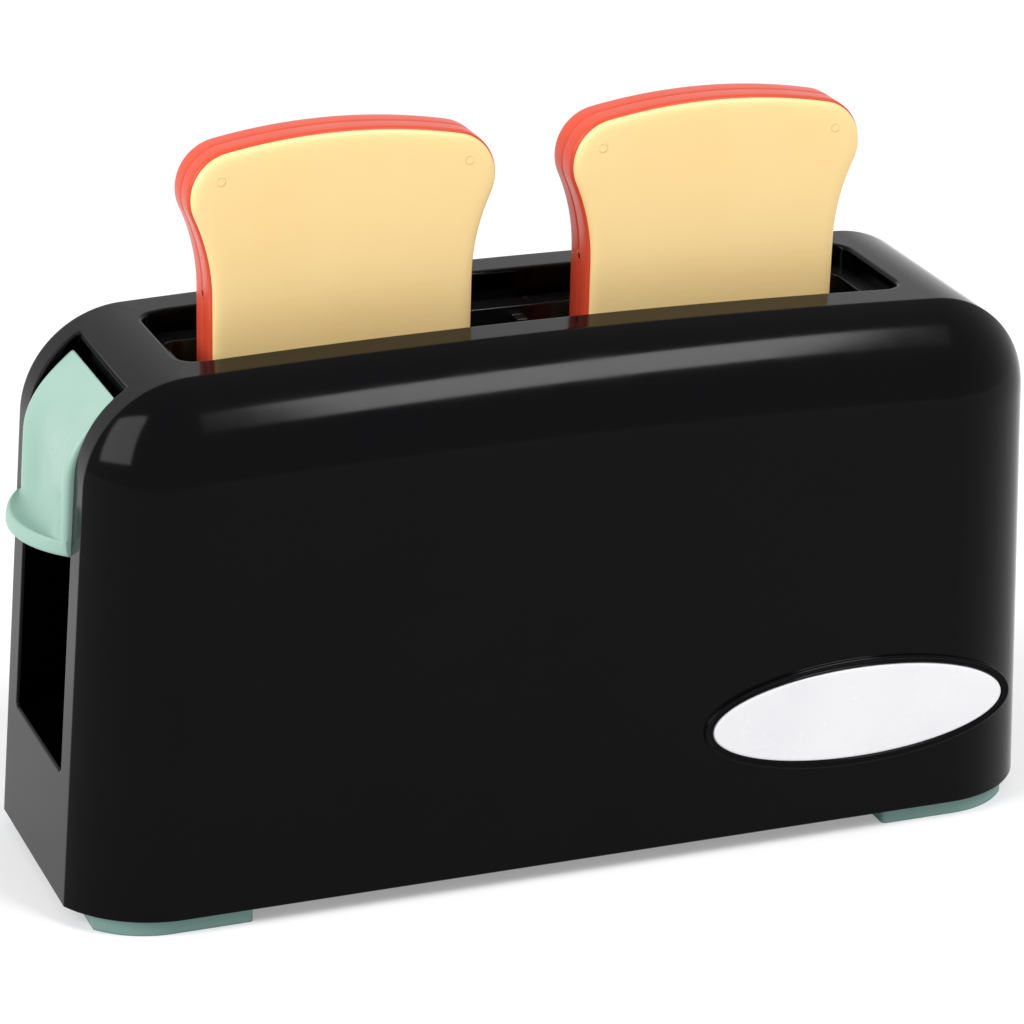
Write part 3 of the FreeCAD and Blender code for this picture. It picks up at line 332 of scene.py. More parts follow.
def box_mm(node):
    low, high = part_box(node)
    return low / MM, high / MM


# ---------------------------------------------------------------- slices of bread

SLICE_HALF = 33.1  # half the width over the shoulders
SLICE_FOOT = 28.5  # half the width of the straight lower part
SLICE_NECK = 45.0  # height of that part
SHOULDER_DROP = 12.3  # from the top down to the widest place
SHOULDER = 10.0  # radius of the shoulders
SLICE_CORNER = 6.0  # radius of the bottom corners
CORNER_STEPS = 8
FLARE_STEPS = 14
SHOULDER_STEPS = 20
CROWN_STEPS = 10
# the crust's rounded edge: inset and depth behind its face
CRUST_EDGE = [(1.1, 0.0), (0.55, 0.12), (0.2, 0.42), (0.04, 0.85), (0.0, 1.4)]
# the shallow groove round the crust's middle: inset and y
PARTING = [(0.0, -0.72), (0.03, -0.45), (0.16, -0.2), (0.22, 0.0), (0.16, 0.2), (0.03, 0.45),
           (0.0, 0.72)]
# a crumb face from its back to its flat middle: inset and height
CRUMB_EDGE = [(0.5, 0.0), (0.5, 0.15), (0.56, 0.38), (0.72, 0.62), (0.98, 0.82), (1.35, 0.98),
              (1.85, 1.09), (2.5, 1.16), (3.4, 1.19), (4.6, 1.2)]
# the ring that a mould's pin leaves: radius and height
MARK = [(1.15, -0.05), (1.08, 0.05), (0.98, 0.11), (0.86, 0.11), (0.76, 0.04), (0.7, -0.05)]
MARK_TOP = max(height for radius, height in MARK)
MARK_STEPS = 28
MARK_X = 26.6  # of the rings on a crumb face, from its middle
MARK_RISE = 70.4  # of those rings above the slice's bottom
DIMPLE_RISE = 45.0  # of the ring on each side of the crust above the slice's bottom
DIMPLE_SINK = 0.03  # of that ring into the side


def slice_outline(low, high, inset):
    """The slice's outline, a given distance inside its own edge, as (x, z) points."""
    corner = SLICE_CORNER - inset
    foot = SLICE_FOOT - inset
    radius = SHOULDER - inset
    neck = low + SLICE_NECK
    top = high - inset
    shoulder_x = SLICE_HALF - SHOULDER
    shoulder_z = high - SHOULDER_DROP
    aside = foot - shoulder_x
    above = shoulder_z - neck
    flare = (aside * aside + above * above - radius * radius) / (2 * (radius - aside))
    flare_end = math.degrees(math.atan2(above, foot + flare - shoulder_x))
    rise = top - shoulder_z
    crown = (shoulder_x * shoulder_x + rise * rise - radius * radius) / (2 * (rise - radius))
    crown_start = math.degrees(math.atan2(crown - rise, shoulder_x))
    right = arc((foot - corner, low + inset + corner), corner, -90, 0, CORNER_STEPS)
    right += arc((foot + flare, neck), flare, 180, 180 - flare_end, FLARE_STEPS)
    right += arc((shoulder_x, shoulder_z), radius, -flare_end, crown_start, SHOULDER_STEPS)
    right += arc((0, top - crown), crown, crown_start, 90, CROWN_STEPS)
    return right + [(0, top)] + [(-x, z) for x, z in reversed(right)]


def add_mark(vertices, faces, spot, outwards):
    """Add a small ring, as a mould's pin leaves it, at a spot on a face that looks outwards."""
    outwards = Vector(outwards)
    across = Vector((0, 0, 1))
    aside = outwards.cross(across)
    rings = []
    for radius, height in MARK:
        rings.append([])
        for step in range(MARK_STEPS):
            turn = math.radians(360 * step / MARK_STEPS)
            reach = math.cos(turn) * aside + math.sin(turn) * across
            rings[-1].append(tuple(Vector(spot) + radius * reach + height * outwards))
    ring_vertices, ring_faces = loft(rings)
    first = len(vertices)
    vertices += ring_vertices
    faces += [tuple(first + corner for corner in face) for face in ring_faces]


def add_slice(side):
    """A toy slice of bread: a crust and a crumb face on its front and on its back."""
    low, high = box_mm(f"toast_{side}_crust")
    middle = (low.x + high.x) / 2
    body = f"toast_{side}_body"

    def ring(inset, y):
        return [(middle + x, y, z) for x, z in slice_outline(low.z, high.z, inset)]

    rings = [ring(inset, low.y + depth) for inset, depth in CRUST_EDGE]
    rings += [ring(inset, along) for inset, along in PARTING]
    rings += [ring(inset, high.y - depth) for inset, depth in reversed(CRUST_EDGE)]
    vertices, faces = loft(rings)
    for across in (-1, 1):
        spot = (middle + across * (SLICE_FOOT - DIMPLE_SINK), 0.0, low.z + DIMPLE_RISE)
        add_mark(vertices, faces, spot, (across, 0, 0))
    add_piece(f"slice_{side}_crust", vertices, faces, "crust_plastic", body,
              [f"toast_{side}_crust"])
    for face, y, outwards in (("front", low.y, -1), ("back", high.y, 1)):
        vertices, faces = loft([ring(inset, y + outwards * depth) for inset, depth in CRUMB_EDGE])
        # the rings' tops are level with the face, which keeps them inside the CAD's box
        mark_y = y + outwards * (CRUMB_EDGE[-1][1] - MARK_TOP)
        for across in (-1, 1):
            spot = (middle + across * MARK_X, mark_y, low.z + MARK_RISE)
            add_mark(vertices, faces, spot, (0, outwards, 0))
        add_piece(f"slice_{side}_{face}", vertices, faces, "crumb_plastic", body,
                  [f"toast_{side}_{face}"])


# ---------------------------------------------------------------- the housing's arch

HOUSING_LOW, HOUSING_HIGH = box_mm("housing")
SHIFT = (HOUSING_LOW.x + HOUSING_HIGH.x) / 2  # of the housing's middle from the frame's
HALF = (HOUSING_HIGH.x - HOUSING_LOW.x) / 2
BOTTOM = HOUSING_LOW.z
TOP = HOUSING_HIGH.z
END_LEAN = 6.5  # of each end inwards, over the body's height
BODY_HEIGHT = 115.0
LEAN = math.atan2(END_LEAN, BODY_HEIGHT)
CORNER = 23.0  # radius where an end turns into the top
CROWN = 2000.0  # radius of the top
HALVINGS = 40  # of the search for a place along the arch


def arch_parts():
    """The left end's direction, the length of its straight line, its corner's middle and the
    angle at which the corner meets the crown."""
    up = (math.sin(LEAN), math.cos(LEAN))
    out = (-math.cos(LEAN), math.sin(LEAN))
    start = (-HALF - CORNER * out[0], BOTTOM - CORNER * out[1])
    # along the line until the corner touches the crown from inside
    depth = start[1] - (TOP - CROWN)
    along = start[0] * up[0] + depth * up[1]
    gap = start[0] ** 2 + depth ** 2 - (CROWN - CORNER) ** 2
    length = -along + math.sqrt(along * along - gap)
    centre = (start[0] + up[0] * length, start[1] + up[1] * length)
    crown_start = math.degrees(math.atan2(centre[1] - (TOP - CROWN), centre[0]))
    return up, length, centre, crown_start


UP, LINE, CORNER_MIDDLE, CROWN_START = arch_parts()
LINE_ANGLE = 180 - math.degrees(LEAN)
CORNER_LENGTH = CORNER * math.radians(LINE_ANGLE - CROWN_START)
HALF_ALONG = LINE + CORNER_LENGTH + CROWN * math.radians(CROWN_START - 90)
WHOLE_ALONG = 2 * HALF_ALONG


def arch(along, proud):
    """A point (x, z) of the left end's arch, so far along it from the bottom and so far outside."""
    if along < LINE:
        angle = math.radians(LINE_ANGLE)
        spot = (-HALF + UP[0] * along, BOTTOM + UP[1] * along)
    elif along < LINE + CORNER_LENGTH:
        angle = math.radians(LINE_ANGLE) - (along - LINE) / CORNER
        spot = (CORNER_MIDDLE[0] + CORNER * math.cos(angle),
                CORNER_MIDDLE[1] + CORNER * math.sin(angle))
    else:
        angle = math.radians(CROWN_START) - (along - LINE - CORNER_LENGTH) / CROWN
        spot = (CROWN * math.cos(angle), TOP - CROWN + CROWN * math.sin(angle))
    return (spot[0] + proud * math.cos(angle) + SHIFT, spot[1] + proud * math.sin(angle))


def skin(along, y, depth):
    """A point at a depth under the whole arch, so far along it from the left end's bottom."""
    if along <= HALF_ALONG:
        x, z = arch(along, -depth)
        return x, y, z
    x, z = arch(WHOLE_ALONG - along, -depth)
    return 2 * SHIFT - x, y, z


def along_where(axis, value):
    """How far along the arch its surface first reaches an x (axis 0) or a height (axis 2)."""
    low, high = 0.0, (WHOLE_ALONG if axis == 0 else HALF_ALONG)
    for _ in range(HALVINGS):
        middle = (low + high) / 2
        if skin(middle, 0, 0)[axis] < value:
            low = middle
        else:
            high = middle
    return low


# ---------------------------------------------------------------- lever

LEVER_HALF = 16.4  # half its width
LEVER_BACK = -3.2  # of the plate's back, from the housing's surface
LEVER_END = 1.9  # from the upper end back to the face that the arm meets
LEVER_EDGE = 1.4  # radius of the plate's long edges
LEVER_TOP_CORNER = 2.2  # radius of its upper corners
RIDGE_PROUD = 1.6  # of the side ridges, outside the housing's surface
RIDGE_Y = 15.0  # from the middle line to the ridges' crest
DISH_PROUD = -0.7  # of the dish between them
DISH_Y = 7.0  # half the width of its flat middle
TOP_PROUD = -1.3  # of the upper end, where ridges and dish run out
RIDGE_FADE = (90.0, 20.0)  # along the arch: where the ridges start to run out, and over how much
DISH_FADE = (95.0, 15.0)  # the same for the dish
LEDGE_REACH = 7.6  # of the thumb ledge's foot, from its sides to its middle
FOOT_RADIUS = 0.9  # of the foot's lower edge
CREST_REACH = 6.3  # of the ledge's crest
CREST_BACK = 1.15  # from the foot's foremost point back to the crest's
CREST_Z = 82.0
# the least that the crest stands out of the plate, and the outer curve's control point out of
# the crest
CREST_GAP = 0.1
CREST_BULGE = 0.3  # of that control point above the crest, in the middle
TRAY_RISE = 5.0  # of the line where the plate turns out into the ledge, in the middle
TRAY_SIDE_RISE = 0.5
TRAY_SAG = 2.2  # of the turn's control point under the crest
TRAY_TURN = 0.1  # share of the way out to the crest at which that point lies
END_SEARCH = 10.0  # above the crest, where the search for the plate's upper end starts
END_STEP = 0.02  # of that search
BOSS_START = 11.0  # behind the lever's foremost point
BOSS_HALF = 6.0
BOSS_HEIGHT = 21.5
PLATE_STEPS = 30
TRAY_STEPS = 14
OUTER_STEPS = 10
FOOT_STEPS = 5
BACK_STEPS = 20
LEVER_YS = [0.0, 1.5, 3.0, 4.5, 6.0, 7.0, 8.0, 9.0, 10.0, 11.0, 12.0, 12.8, 13.4, 13.9, 14.3,
            14.6, 14.9, 15.2, 15.45, 15.65, 15.8, 15.95, 16.08, 16.2, 16.3, 16.37, 16.4]


def rounded_drop(side, half, radius):
    """How far a corner of this radius has fallen away, at a distance from the middle line."""
    over = min(max(side - (half - radius), 0.0), radius)
    return radius - math.sqrt(radius * radius - over * over)


def plate_proud(side, along):
    """How far the lever's face stands outside the arch, at a distance from its middle line."""
    ridge_fade = ease((along - RIDGE_FADE[0]) / RIDGE_FADE[1])
    dish_fade = ease((along - DISH_FADE[0]) / DISH_FADE[1])
    ridge = RIDGE_PROUD + (TOP_PROUD - RIDGE_PROUD) * ridge_fade
    dish = DISH_PROUD + (TOP_PROUD - DISH_PROUD) * dish_fade
    face = dish + (ridge - dish) * ease((side - DISH_Y) / (RIDGE_Y - DISH_Y))
    return face - rounded_drop(side, LEVER_HALF, LEVER_EDGE)


def lever_column(y, low, high):
    """One upright section through the lever: a closed loop of (x, z) points."""
    side = abs(y)
    limit = high.x - rounded_drop(side, LEVER_HALF, LEVER_TOP_CORNER)

    def along_at(height):
        return (height - BOTTOM) / UP[1]

    def end_along(proud_at):
        """How far along the arch this surface reaches the lever's upper end."""
        along = along_at(CREST_Z + END_SEARCH)
        while arch(along, proud_at(along))[0] < limit:
            along += END_STEP
        return along

    def face(along):
        return plate_proud(side, along)

    def ledge_x(back, reach):
        """The x of an arc across the lever that bows out by the reach in the middle."""
        radius = (LEVER_HALF ** 2 + reach ** 2) / (2 * reach)
        return low.x + back + radius - math.sqrt(radius ** 2 - side ** 2)

    def curve(first, turn, last, steps):
        """Add the points of a quadratic curve, without its last one."""
        for step in range(steps):
            part = step / steps
            points.append(tuple((1 - part) ** 2 * a + 2 * part * (1 - part) * b + part ** 2 * c
                                for a, b, c in zip(first, turn, last)))

    round_y = math.sqrt(max(0.0, 1.0 - (side / LEVER_HALF) ** 2))
    tray_z = CREST_Z + TRAY_SIDE_RISE + TRAY_RISE * round_y
    tray_along = along_at(tray_z)
    plate_x = arch(along_at(CREST_Z), face(along_at(CREST_Z)))[0]
    crest = (min(ledge_x(CREST_BACK, CREST_REACH), plate_x - CREST_GAP), CREST_Z)
    foot_x = ledge_x(0.0, LEDGE_REACH)
    foot_z = low.z + FOOT_RADIUS
    points = []
    top_along = end_along(face)
    for step in range(PLATE_STEPS):
        along = top_along + (tray_along - top_along) * step / PLATE_STEPS
        points.append(arch(along, face(along)))
    tray = arch(tray_along, face(tray_along))
    turn = (tray[0] + TRAY_TURN * (crest[0] - tray[0]), CREST_Z - TRAY_SAG * round_y)
    curve(tray, turn, crest, TRAY_STEPS)
    turn = (min(foot_x, crest[0] - CREST_GAP), CREST_Z + CREST_BULGE * round_y)
    curve(crest, turn, (foot_x, foot_z), OUTER_STEPS)
    points += arc((foot_x + FOOT_RADIUS, foot_z), FOOT_RADIUS, 180, 270, FOOT_STEPS)
    points.append((foot_x + FOOT_RADIUS, low.z))
    back_along = along_at(low.z)
    back_end = end_along(lambda along: LEVER_BACK)
    for step in range(BACK_STEPS + 1):
        along = back_along + (back_end - back_along) * step / BACK_STEPS
        points.append(arch(along, LEVER_BACK))
    return points


def add_lever():
    """A dished plate that follows the housing's end, with two side ridges that run out at the
    top, a thumb ledge below, and behind it the boss that the carriage's arm is screwed to."""
    low, high = box_mm("lever")
    rings = []
    for y in [-y for y in reversed(LEVER_YS)] + LEVER_YS[1:]:
        rings.append([(x, y, z) for x, z in lever_column(y, low, high)])
    vertices, faces = loft(rings)
    box_faces(vertices, faces, (low.x + BOSS_START, -BOSS_HALF, low.z),
              (high.x - LEVER_END, BOSS_HALF, low.z + BOSS_HEIGHT))
    add_piece("lever_plate", vertices, faces, "mint_plastic", "carriage_body", ["lever"])


# ---------------------------------------------------------------- housing

DEPTH_HALF = HOUSING_HIGH.y
WALL = 2.2  # thickness
HOUSING_SHARP = 50.0  # degrees
INSIDE_RISE = 12.0  # of the wall's inner face above the bottom edge
# the soft border round the front and back faces, and the crease where it meets the band
MARGIN_DROP = 13.6
MARGIN_WIDTH = 22.0
MARGIN_RADIUS = (MARGIN_WIDTH ** 2 + MARGIN_DROP ** 2) / (2 * MARGIN_DROP)
MARGIN_STEPS = 15
CREASE_RADIUS = 0.9
CREASE_STEPS = 6
FLAT_LEAD = 0.8  # of flat surface before the border and after the crease
# the band over the ends and the top, which holds the openings
BAND_Y = 21.0  # half its width
BAND_INNER_Y = 9.0  # half the width of its coarser middle
BAND_PITCH = 0.6
BAND_INNER_PITCH = 1.5
# columns along the band: fine at an opening's ends, closer on the corners than elsewhere
FINE_PITCH = 0.6
CORNER_PITCH = 1.2
PLAIN_PITCH = 6.0
LINE_MARGIN = 1.0  # of a column on each side of the line's end
CORNER_MARGIN = 0.5  # of a column past the corner
# zones of the band, which hold the channel and the slot
FLOOR_MARGIN = 3.2  # of the channel's zone, below its floor
ZONE_MARGIN = 3.0  # of the zones past the openings' other ends
CHANNEL_FINE = 1.6  # of fine columns, from the channel's ends inwards
SLOT_FINE = 6.0  # the same for the slot
CHANNEL_ZONE = 1  # counted from 0 at the left end's bottom
SLOT_ZONE = 3
ZONE_REACH = 1e-6  # past a zone's ends, within which a column still belongs to it
# the openings
LIP_LEADS = (0.6, 0.25)  # of the rings round an opening before its lip
LIP_STEPS = 6
SLOT_X = 0.6
SLOT_HALF = (80.5, 15.7)
SLOT_CORNER = 5.0
SLOT_LIP = 0.9  # radius
SLOT_EDGE = 0.4  # of the slot's wall, straight below its lip
LEDGE_OVERLAP = 0.1  # of that wall with the bread guide
CHANNEL_HALF = 17.2
CHANNEL_FLOOR = 31.4
CHANNEL_WALL = -91.8  # x of its inner wall
CHANNEL_CORNER = 1.0
CHANNEL_LIP = 0.6
CHANNEL_EDGE = 0.4  # of the channel's wall, straight behind its lip
CHANNEL_OVERLAP = 1.0  # of its inner wall below its floor
CHANNEL_TOP = 0.3  # from the lip down to the inner wall's upper edge
SLIT_HALF = 4.0  # half the width of the slit for the carriage's arm
SLIT_TOP = 100.5
# the badge's rim: how far outside the badge and how deep behind the rim's front, with a thin
# bead next to the badge, a groove and a broad outer bead
BEZEL = [(0.0, 0.9), (0.0, 0.3), (0.07, 0.14), (0.2, 0.05), (0.34, 0.05), (0.47, 0.14),
         (0.58, 0.3), (0.72, 0.32), (0.9, 0.17), (1.12, 0.05), (1.35, 0.0), (1.58, 0.04),
         (1.76, 0.15), (1.87, 0.32), (1.9, 0.55), (1.9, 5.2)]
BADGE_GAP = 0.1  # round the badge, inside its rim
# the badge's edge from its back to its face: inset and depth
BADGE_EDGE = [(0.0, 1.4), (0.0, 0.35), (0.08, 0.16), (0.25, 0.04), (0.5, 0.0), (0.9, 0.0)]


def section():
    """Half of the section across the housing, from the flat front to the openings: (y, depth)."""
    centre_y = MARGIN_RADIUS - DEPTH_HALF
    inner = MARGIN_RADIUS - CREASE_RADIUS
    fall = MARGIN_WIDTH - CREASE_RADIUS
    aside = math.sqrt(inner ** 2 - fall ** 2)
    crease = math.degrees(math.atan2(fall, aside))
    points = [(-DEPTH_HALF, MARGIN_WIDTH + FLAT_LEAD)]
    for step in range(MARGIN_STEPS):
        angle = math.radians(crease * step / MARGIN_STEPS)
        points.append((centre_y - MARGIN_RADIUS * math.cos(angle),
                       MARGIN_WIDTH - MARGIN_RADIUS * math.sin(angle)))
    for step in range(CREASE_STEPS + 1):
        angle = math.radians(crease + (90 - crease) * step / CREASE_STEPS)
        points.append((centre_y - aside - CREASE_RADIUS * math.cos(angle),
                       CREASE_RADIUS - CREASE_RADIUS * math.sin(angle)))
    return points + [(points[-1][0] + FLAT_LEAD, 0.0), (-BAND_Y, 0.0)]


def opening(vertices, faces, rim, middle, half, corner, lip, depth_ring):
    """Close the strip between a rim and a rounded hole, and turn it into the hole with a lip."""
    def at_hole(point, outset):
        inner = [half[axis] - corner for axis in range(2)]
        local = [point[axis] - middle[axis] for axis in range(2)]
        core = [min(max(local[axis], -inner[axis]), inner[axis]) for axis in range(2)]
        away = Vector([local[axis] - core[axis] for axis in range(2)]).normalized()
        reach = corner + outset
        return middle[0] + core[0] + away[0] * reach, middle[1] + core[1] + away[1] * reach

    rings = [[skin(*point, 0.0) for point in rim]]
    for lead in LIP_LEADS:
        rings.append([skin(*at_hole(point, lip + lead), 0.0) for point in rim])
    for step in range(LIP_STEPS + 1):
        angle = math.radians(90 * step / LIP_STEPS)
        outset = lip * (1 - math.sin(angle))
        depth = lip * (1 - math.cos(angle))
        rings.append([skin(*at_hole(point, outset), depth) for point in rim])
    rings += depth_ring(rings[-1])
    grid(vertices, faces, [ring + ring[:1] for ring in rings])


def band_columns(channel, slot):
    """The places of the columns along the whole arch, for openings with these ends."""
    end = WHOLE_ALONG
    corner_end = LINE + CORNER_LENGTH
    fine = [channel[0] - FLOOR_MARGIN, channel[1] - CHANNEL_FINE, slot[0] - ZONE_MARGIN,
            slot[1] - SLOT_FINE]
    stops = fine + [0.0, channel[0] + CHANNEL_FINE, LINE - LINE_MARGIN, LINE + LINE_MARGIN,
                    corner_end + CORNER_MARGIN, channel[1] + ZONE_MARGIN, slot[0] + SLOT_FINE,
                    slot[1] + ZONE_MARGIN, end - LINE - CORNER_LENGTH, end - LINE, end]
    stops.sort()
    alongs = []
    for low, high in zip(stops, stops[1:]):
        on_left_corner = LINE - LINE_MARGIN <= low < corner_end
        on_right_corner = end - LINE - CORNER_LENGTH <= low < end - LINE
        if low in fine:
            pitch = FINE_PITCH
        elif on_left_corner or on_right_corner:
            pitch = CORNER_PITCH
        else:
            pitch = PLAIN_PITCH
        alongs += steps_between(low, high, pitch)
    return alongs + [end]


def channel_walls(ring):
    """The rings that carry the channel's lip back to its inner wall."""
    near = [(min(x + CHANNEL_EDGE, CHANNEL_WALL), y, z) for x, y, z in ring]
    return [near, [(CHANNEL_WALL, y, z) for x, y, z in ring]]


def slot_walls(ring):
    """The rings that carry the slot's lip down to the bread guide."""
    ledge = box_mm("bread_guide")[1].z
    return [[(x, y, z - SLOT_EDGE) for x, y, z in ring],
            [(x, y, ledge - LEDGE_OVERLAP) for x, y, z in ring]]


def add_band(vertices, faces, alongs, channel, slot):
    """The strip over the ends and the top, with the lever's channel and the slot."""
    ys = steps_between(-BAND_Y, -BAND_INNER_Y, BAND_PITCH)
    ys += steps_between(-BAND_INNER_Y, BAND_INNER_Y, BAND_INNER_PITCH)
    ys += steps_between(BAND_INNER_Y, BAND_Y, BAND_PITCH) + [BAND_Y]
    zones = [0.0, channel[0] - FLOOR_MARGIN, channel[1] + ZONE_MARGIN, slot[0] - ZONE_MARGIN,
             slot[1] + ZONE_MARGIN, WHOLE_ALONG]
    for number, (low, high) in enumerate(zip(zones, zones[1:])):
        inside = [along for along in alongs if low - ZONE_REACH <= along <= high + ZONE_REACH]
        if number not in (CHANNEL_ZONE, SLOT_ZONE):
            grid(vertices, faces, [[skin(along, y, 0.0) for along in inside] for y in ys])
            continue
        rim = [(inside[0], y) for y in ys[:-1]] + [(along, ys[-1]) for along in inside[:-1]]
        rim += [(inside[-1], y) for y in reversed(ys[1:])]
        rim += [(along, ys[0]) for along in reversed(inside[1:])]
        if number == CHANNEL_ZONE:
            middle = ((channel[0] + channel[1]) / 2, 0.0)
            half = ((channel[1] - channel[0]) / 2, CHANNEL_HALF)
            opening(vertices, faces, rim, middle, half, CHANNEL_CORNER, CHANNEL_LIP,
                    channel_walls)
        else:
            middle = ((slot[0] + slot[1]) / 2, 0.0)
            half = ((slot[1] - slot[0]) / 2, SLOT_HALF[1])
            opening(vertices, faces, rim, middle, half, SLOT_CORNER, SLOT_LIP, slot_walls)


def add_bottom_rim(vertices, faces, profile):
    """The wall's lower edge and its inner face, which stand round the base plate."""
    lean = math.tan(LEAN)
    left = [skin(depth * lean, y, depth) for y, depth in profile]
    left += [skin(depth * lean, -y, depth) for y, depth in reversed(profile)]
    outline = left + [(2 * SHIFT - x, y, z) for x, y, z in reversed(left)]
    inner = []
    for before, here, after in zip(outline[-1:] + outline, outline, outline[1:] + outline[:1]):
        run = (Vector(after) - Vector(before)).normalized()
        inner.append((here[0] + run.y * WALL, here[1] - run.x * WALL, here[2]))
    raised = [(x, y, z + INSIDE_RISE) for x, y, z in inner]
    grid(vertices, faces, [ring + ring[:1] for ring in (outline, inner, raised)])


def add_channel_back(vertices, faces, channel):
    """The channel's inner wall on both sides of the arm's slit, and above it."""
    top = skin(channel[1], 0.0, CHANNEL_LIP + CHANNEL_TOP)[2]
    floor = CHANNEL_FLOOR - CHANNEL_OVERLAP
    for y0, y1, z0 in ((-CHANNEL_HALF, -SLIT_HALF, floor), (SLIT_HALF, CHANNEL_HALF, floor),
                       (-SLIT_HALF, SLIT_HALF, SLIT_TOP)):
        box_faces(vertices, faces, (CHANNEL_WALL, y0, z0), (CHANNEL_WALL + WALL, y1, top))


def badge_place():
    """The badge's middle (x, z), half its length and half its height."""
    low, high = box_mm("badge_plate")
    return ((low.x + high.x) / 2, (low.z + high.z) / 2,
            (high.x - low.x) / 2, (high.z - low.z) / 2)


def add_housing():
    """The black shell with its openings, its lower edge and the badge's raised rim."""
    channel = [along_where(2, CHANNEL_FLOOR), along_where(0, CHANNEL_WALL)]
    slot = [along_where(0, SLOT_X - SLOT_HALF[0]), along_where(0, SLOT_X + SLOT_HALF[0])]
    alongs = band_columns(channel, slot)
    profile = section()
    vertices, faces = [], []

    def column(y, depth):
        """One line of points along the whole arch, cut off level at both ends."""
        low = depth * math.tan(LEAN)
        return [skin(min(max(along, low), WHOLE_ALONG - low), y, depth) for along in alongs]

    front = [column(y, depth) for y, depth in profile]
    back = [column(-y, depth) for y, depth in profile]
    grid(vertices, faces, front)
    grid(vertices, faces, back)
    for face_edge in (front[0], back[0]):
        first = len(vertices)
        vertices += face_edge
        faces.append(tuple(range(first, first + len(face_edge))))
    add_band(vertices, faces, alongs, channel, slot)
    add_bottom_rim(vertices, faces, profile)
    add_channel_back(vertices, faces, channel)
    cx, cz, half_x, half_z = badge_place()
    rings = []
    for outset, depth in BEZEL:
        rings.append(oval_ring(cx, cz, half_x + BADGE_GAP + outset, half_z + BADGE_GAP + outset,
                               HOUSING_LOW.y + depth))
    grid(vertices, faces, [ring + ring[:1] for ring in rings])
    add_piece("housing_shell", vertices, faces, "shell_black", "housing_body", ["housing"],
              HOUSING_SHARP)


def add_badge():
    """The blank oval plate in the rim."""
    front = box_mm("badge_plate")[0].y
    cx, cz, half_x, half_z = badge_place()
    rings = [oval_ring(cx, cz, half_x - inset, half_z - inset, front + depth)
             for inset, depth in BADGE_EDGE]
    add_piece("badge_face", *loft(rings), "badge_silver", "housing_body", ["badge_plate"])


# ---------------------------------------------------------------- springs

WIRE = 0.45  # radius
WIRE_SIDES = 8
SPRING_TURNS = 11
SPRING_STEPS = 20  # in a turn
SPRING_SHARP = 60.0  # degrees
CLOSED_SLOPE = 0.14  # of the end turns, as a share of the free turns' slope
CLOSED_TURNS = 0.75  # from each end until the coil starts to open
OPENING_TURNS = 0.5  # over which it opens


def add_spring(side):
    """A coil spring with closed end turns, which shortens as the carriage is pressed down."""
    low, high = box_mm(f"return_spring_{side}")
    middle = (low + high) / 2
    radius = (high.x - low.x) / 2 - WIRE
    slopes = []
    for step in range(SPRING_TURNS * SPRING_STEPS):
        turns = (step + 0.5) / SPRING_STEPS
        from_end = min(turns, SPRING_TURNS - turns)
        opened = ease((from_end - CLOSED_TURNS) / OPENING_TURNS)
        slopes.append(CLOSED_SLOPE + (1 - CLOSED_SLOPE) * opened)
    scale = (high.z - low.z - 2 * WIRE) / sum(slopes)
    rings = []
    z = low.z + WIRE
    for step, slope in enumerate(slopes + slopes[-1:]):
        angle = 2 * math.pi * step / SPRING_STEPS
        outwards = Vector((math.cos(angle), math.sin(angle), 0))
        lead = scale * slope * SPRING_STEPS / (2 * math.pi * radius)
        upwards = outwards.cross(Vector((-math.sin(angle), math.cos(angle), lead)).normalized())
        centre = Vector((middle.x, middle.y, z)) + radius * outwards
        rings.append([])
        for corner in range(WIRE_SIDES):
            turn = math.radians(360 * corner / WIRE_SIDES)
            rings[-1].append(tuple(centre + WIRE * (math.cos(turn) * outwards
                                                    + math.sin(turn) * upwards)))
        z += scale * slope
    spring = add_piece(f"coil_spring_{side}", *loft(rings), "spring_steel", "housing_body",
                       [f"return_spring_{side}"], SPRING_SHARP)
    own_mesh(spring)


add_slice("left")
add_slice("right")
add_spring("left")
add_spring("right")
add_lever()
add_housing()
add_badge()


# ---------------------------------------------------------------- the CAD nodes' finishes

NODE_FINISHES = {
    "housing": "shell_black",
    "base_plate": "inner_black",
    "bread_guide": "inner_black",
    "foot_front_left": "feet_mint",
    "foot_front_right": "feet_mint",
    "foot_back_left": "feet_mint",
    "foot_back_right": "feet_mint",
    "base_screws": "screw_steel",
    "guide_screws": "screw_steel",
    "lever_screws": "screw_steel",
    "badge_plate": "badge_silver",
    "lever": "mint_plastic",
    "carriage": "carriage_grey",
    "guide_rod_left": "rod_steel",
    "guide_rod_right": "rod_steel",
    "return_spring_left": "spring_steel",
    "return_spring_right": "spring_steel",
    "catch_clip": "catch_plastic",
    "toast_left_crust": "crust_plastic",
    "toast_left_front": "crumb_plastic",
    "toast_left_back": "crumb_plastic",
    "toast_right_crust": "crust_plastic",
    "toast_right_front": "crumb_plastic",
    "toast_right_back": "crumb_plastic",
}

for label, finish in NODE_FINISHES.items():
    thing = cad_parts[label]
    thing.data.materials.clear()
    thing.data.materials.append(FINISHES[finish])


# ---------------------------------------------------------------- floor, light and camera

WHITE = (1.0, 1.0, 1.0, 1.0)
FLOOR_HALF = 1.6  # metres
FLOOR_GLOW = 0.28  # that makes the lit floor white where it is seen
WORLD_LIGHT = 0.57  # strength of the world as a light
WORLD_SEEN = 1.0  # and where it is seen
CAMERA_PLACE = (-304.7, -749.3, 397.4)
CAMERA_AIM = (-1.32, 0.0, 69.51)
CAMERA_ROLL = 1.72  # degrees
CAMERA_SENSOR = 36.0
CAMERA_LENS = 143.07
CAMERA_CLIP = (0.05, 20.0)  # metres


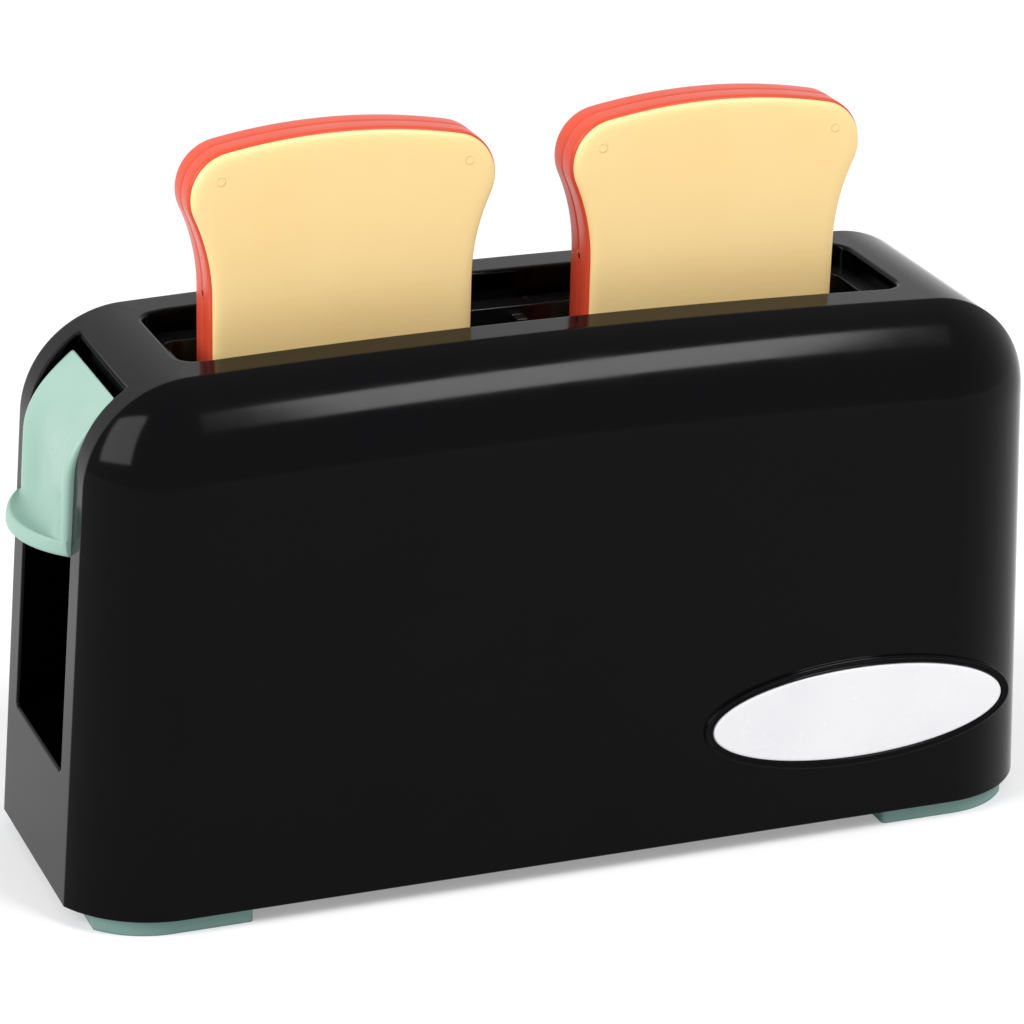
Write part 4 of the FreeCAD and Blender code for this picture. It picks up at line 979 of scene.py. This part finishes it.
def seen_directly(tree):
    """1 for what the camera sees, itself or in a reflection or through glass, and 0 for light."""
    path = tree.nodes.new("ShaderNodeLightPath")
    seen = path.outputs["Is Camera Ray"]
    for ray in ("Is Glossy Ray", "Is Transmission Ray"):
        either = tree.nodes.new("ShaderNodeMath")
        either.operation = "MAXIMUM"
        tree.links.new(seen, either.inputs[0])
        tree.links.new(path.outputs[ray], either.inputs[1])
        seen = either.outputs["Value"]
    return seen


def add_floor():
    """A pale paper floor that looks white and keeps the object's shadow."""
    size = FLOOR_HALF
    mesh = bpy.data.meshes.new("floor")
    corners = [(-size, -size, 0), (size, -size, 0), (size, size, 0), (-size, size, 0)]
    mesh.from_pydata(corners, [], [(0, 1, 2, 3)])
    floor = bpy.data.objects.new("floor", mesh)
    scene.collection.objects.link(floor)
    nodes = Nodes("floor_paper")
    grain = nodes.spread(nodes.noise(PAPER, 3.0), 0.0, 1.0)
    nodes.link(nodes.blend(grain, linear(216, 216, 217), linear(212, 212, 214)),
               nodes.shader.inputs["Base Color"])
    nodes.shader.inputs["Roughness"].default_value = 0.9
    nodes.shader.inputs["Specular IOR Level"].default_value = 0.1
    nodes.shader.inputs["Emission Color"].default_value = WHITE
    nodes.link(nodes.maths("MULTIPLY", seen_directly(nodes.tree), FLOOR_GLOW),
               nodes.shader.inputs["Emission Strength"])
    mesh.materials.append(nodes.material)


def add_world():
    """White where the camera or a reflection sees it, and a plain soft light on everything else."""
    world = bpy.data.worlds.new("studio")
    scene.world = world
    world.use_nodes = True
    tree = world.node_tree
    background = tree.nodes["Background"]
    background.inputs["Color"].default_value = WHITE
    strength = tree.nodes.new("ShaderNodeMapRange")
    strength.inputs["To Min"].default_value = WORLD_LIGHT
    strength.inputs["To Max"].default_value = WORLD_SEEN
    tree.links.new(seen_directly(tree), strength.inputs["Value"])
    tree.links.new(strength.outputs["Result"], background.inputs["Strength"])


def aim(thing, place, target, roll):
    """Stand a lamp or the camera at a place and turn it towards a target, in metres."""
    back = (Vector(place) - Vector(target)).normalized()
    right = (-back).cross(Vector((0, 0, 1))).normalized()
    up = right.cross(-back)
    angle = math.radians(roll)
    turned_right = math.cos(angle) * right + math.sin(angle) * up
    turned_up = math.cos(angle) * up - math.sin(angle) * right
    turn = Matrix((turned_right, turned_up, back)).transposed().to_4x4()
    thing.matrix_world = Matrix.Translation(place) @ turn


def add_lamp(name, place, target, width, height, power, roll):
    """A soft box at a place, facing a point, in metres, watts and degrees."""
    data = bpy.data.lights.new(name, "AREA")
    data.shape = "RECTANGLE"
    data.size = width
    data.size_y = height
    data.energy = power
    lamp = bpy.data.objects.new(name, data)
    scene.collection.objects.link(lamp)
    aim(lamp, Vector(place), Vector(target), roll)


def add_camera():
    data = bpy.data.cameras.new("camera")
    data.sensor_width = CAMERA_SENSOR
    data.lens = CAMERA_LENS
    data.clip_start, data.clip_end = CAMERA_CLIP
    camera = bpy.data.objects.new("camera", data)
    scene.collection.objects.link(camera)
    aim(camera, Vector(CAMERA_PLACE) * MM, Vector(CAMERA_AIM) * MM, CAMERA_ROLL)
    scene.camera = camera


add_floor()
add_world()
add_lamp("left_box", place=(-2.13, -0.29, 1.53), target=(-0.87, 1.23, 1.2),
         width=1.58, height=1.98, power=72.0, roll=1.5)
add_lamp("strip_box", place=(0.93, -1.31, 2.05), target=(1.66, -1.62, 0.21),
         width=1.25, height=0.78, power=60.0, roll=41.0)
add_camera()
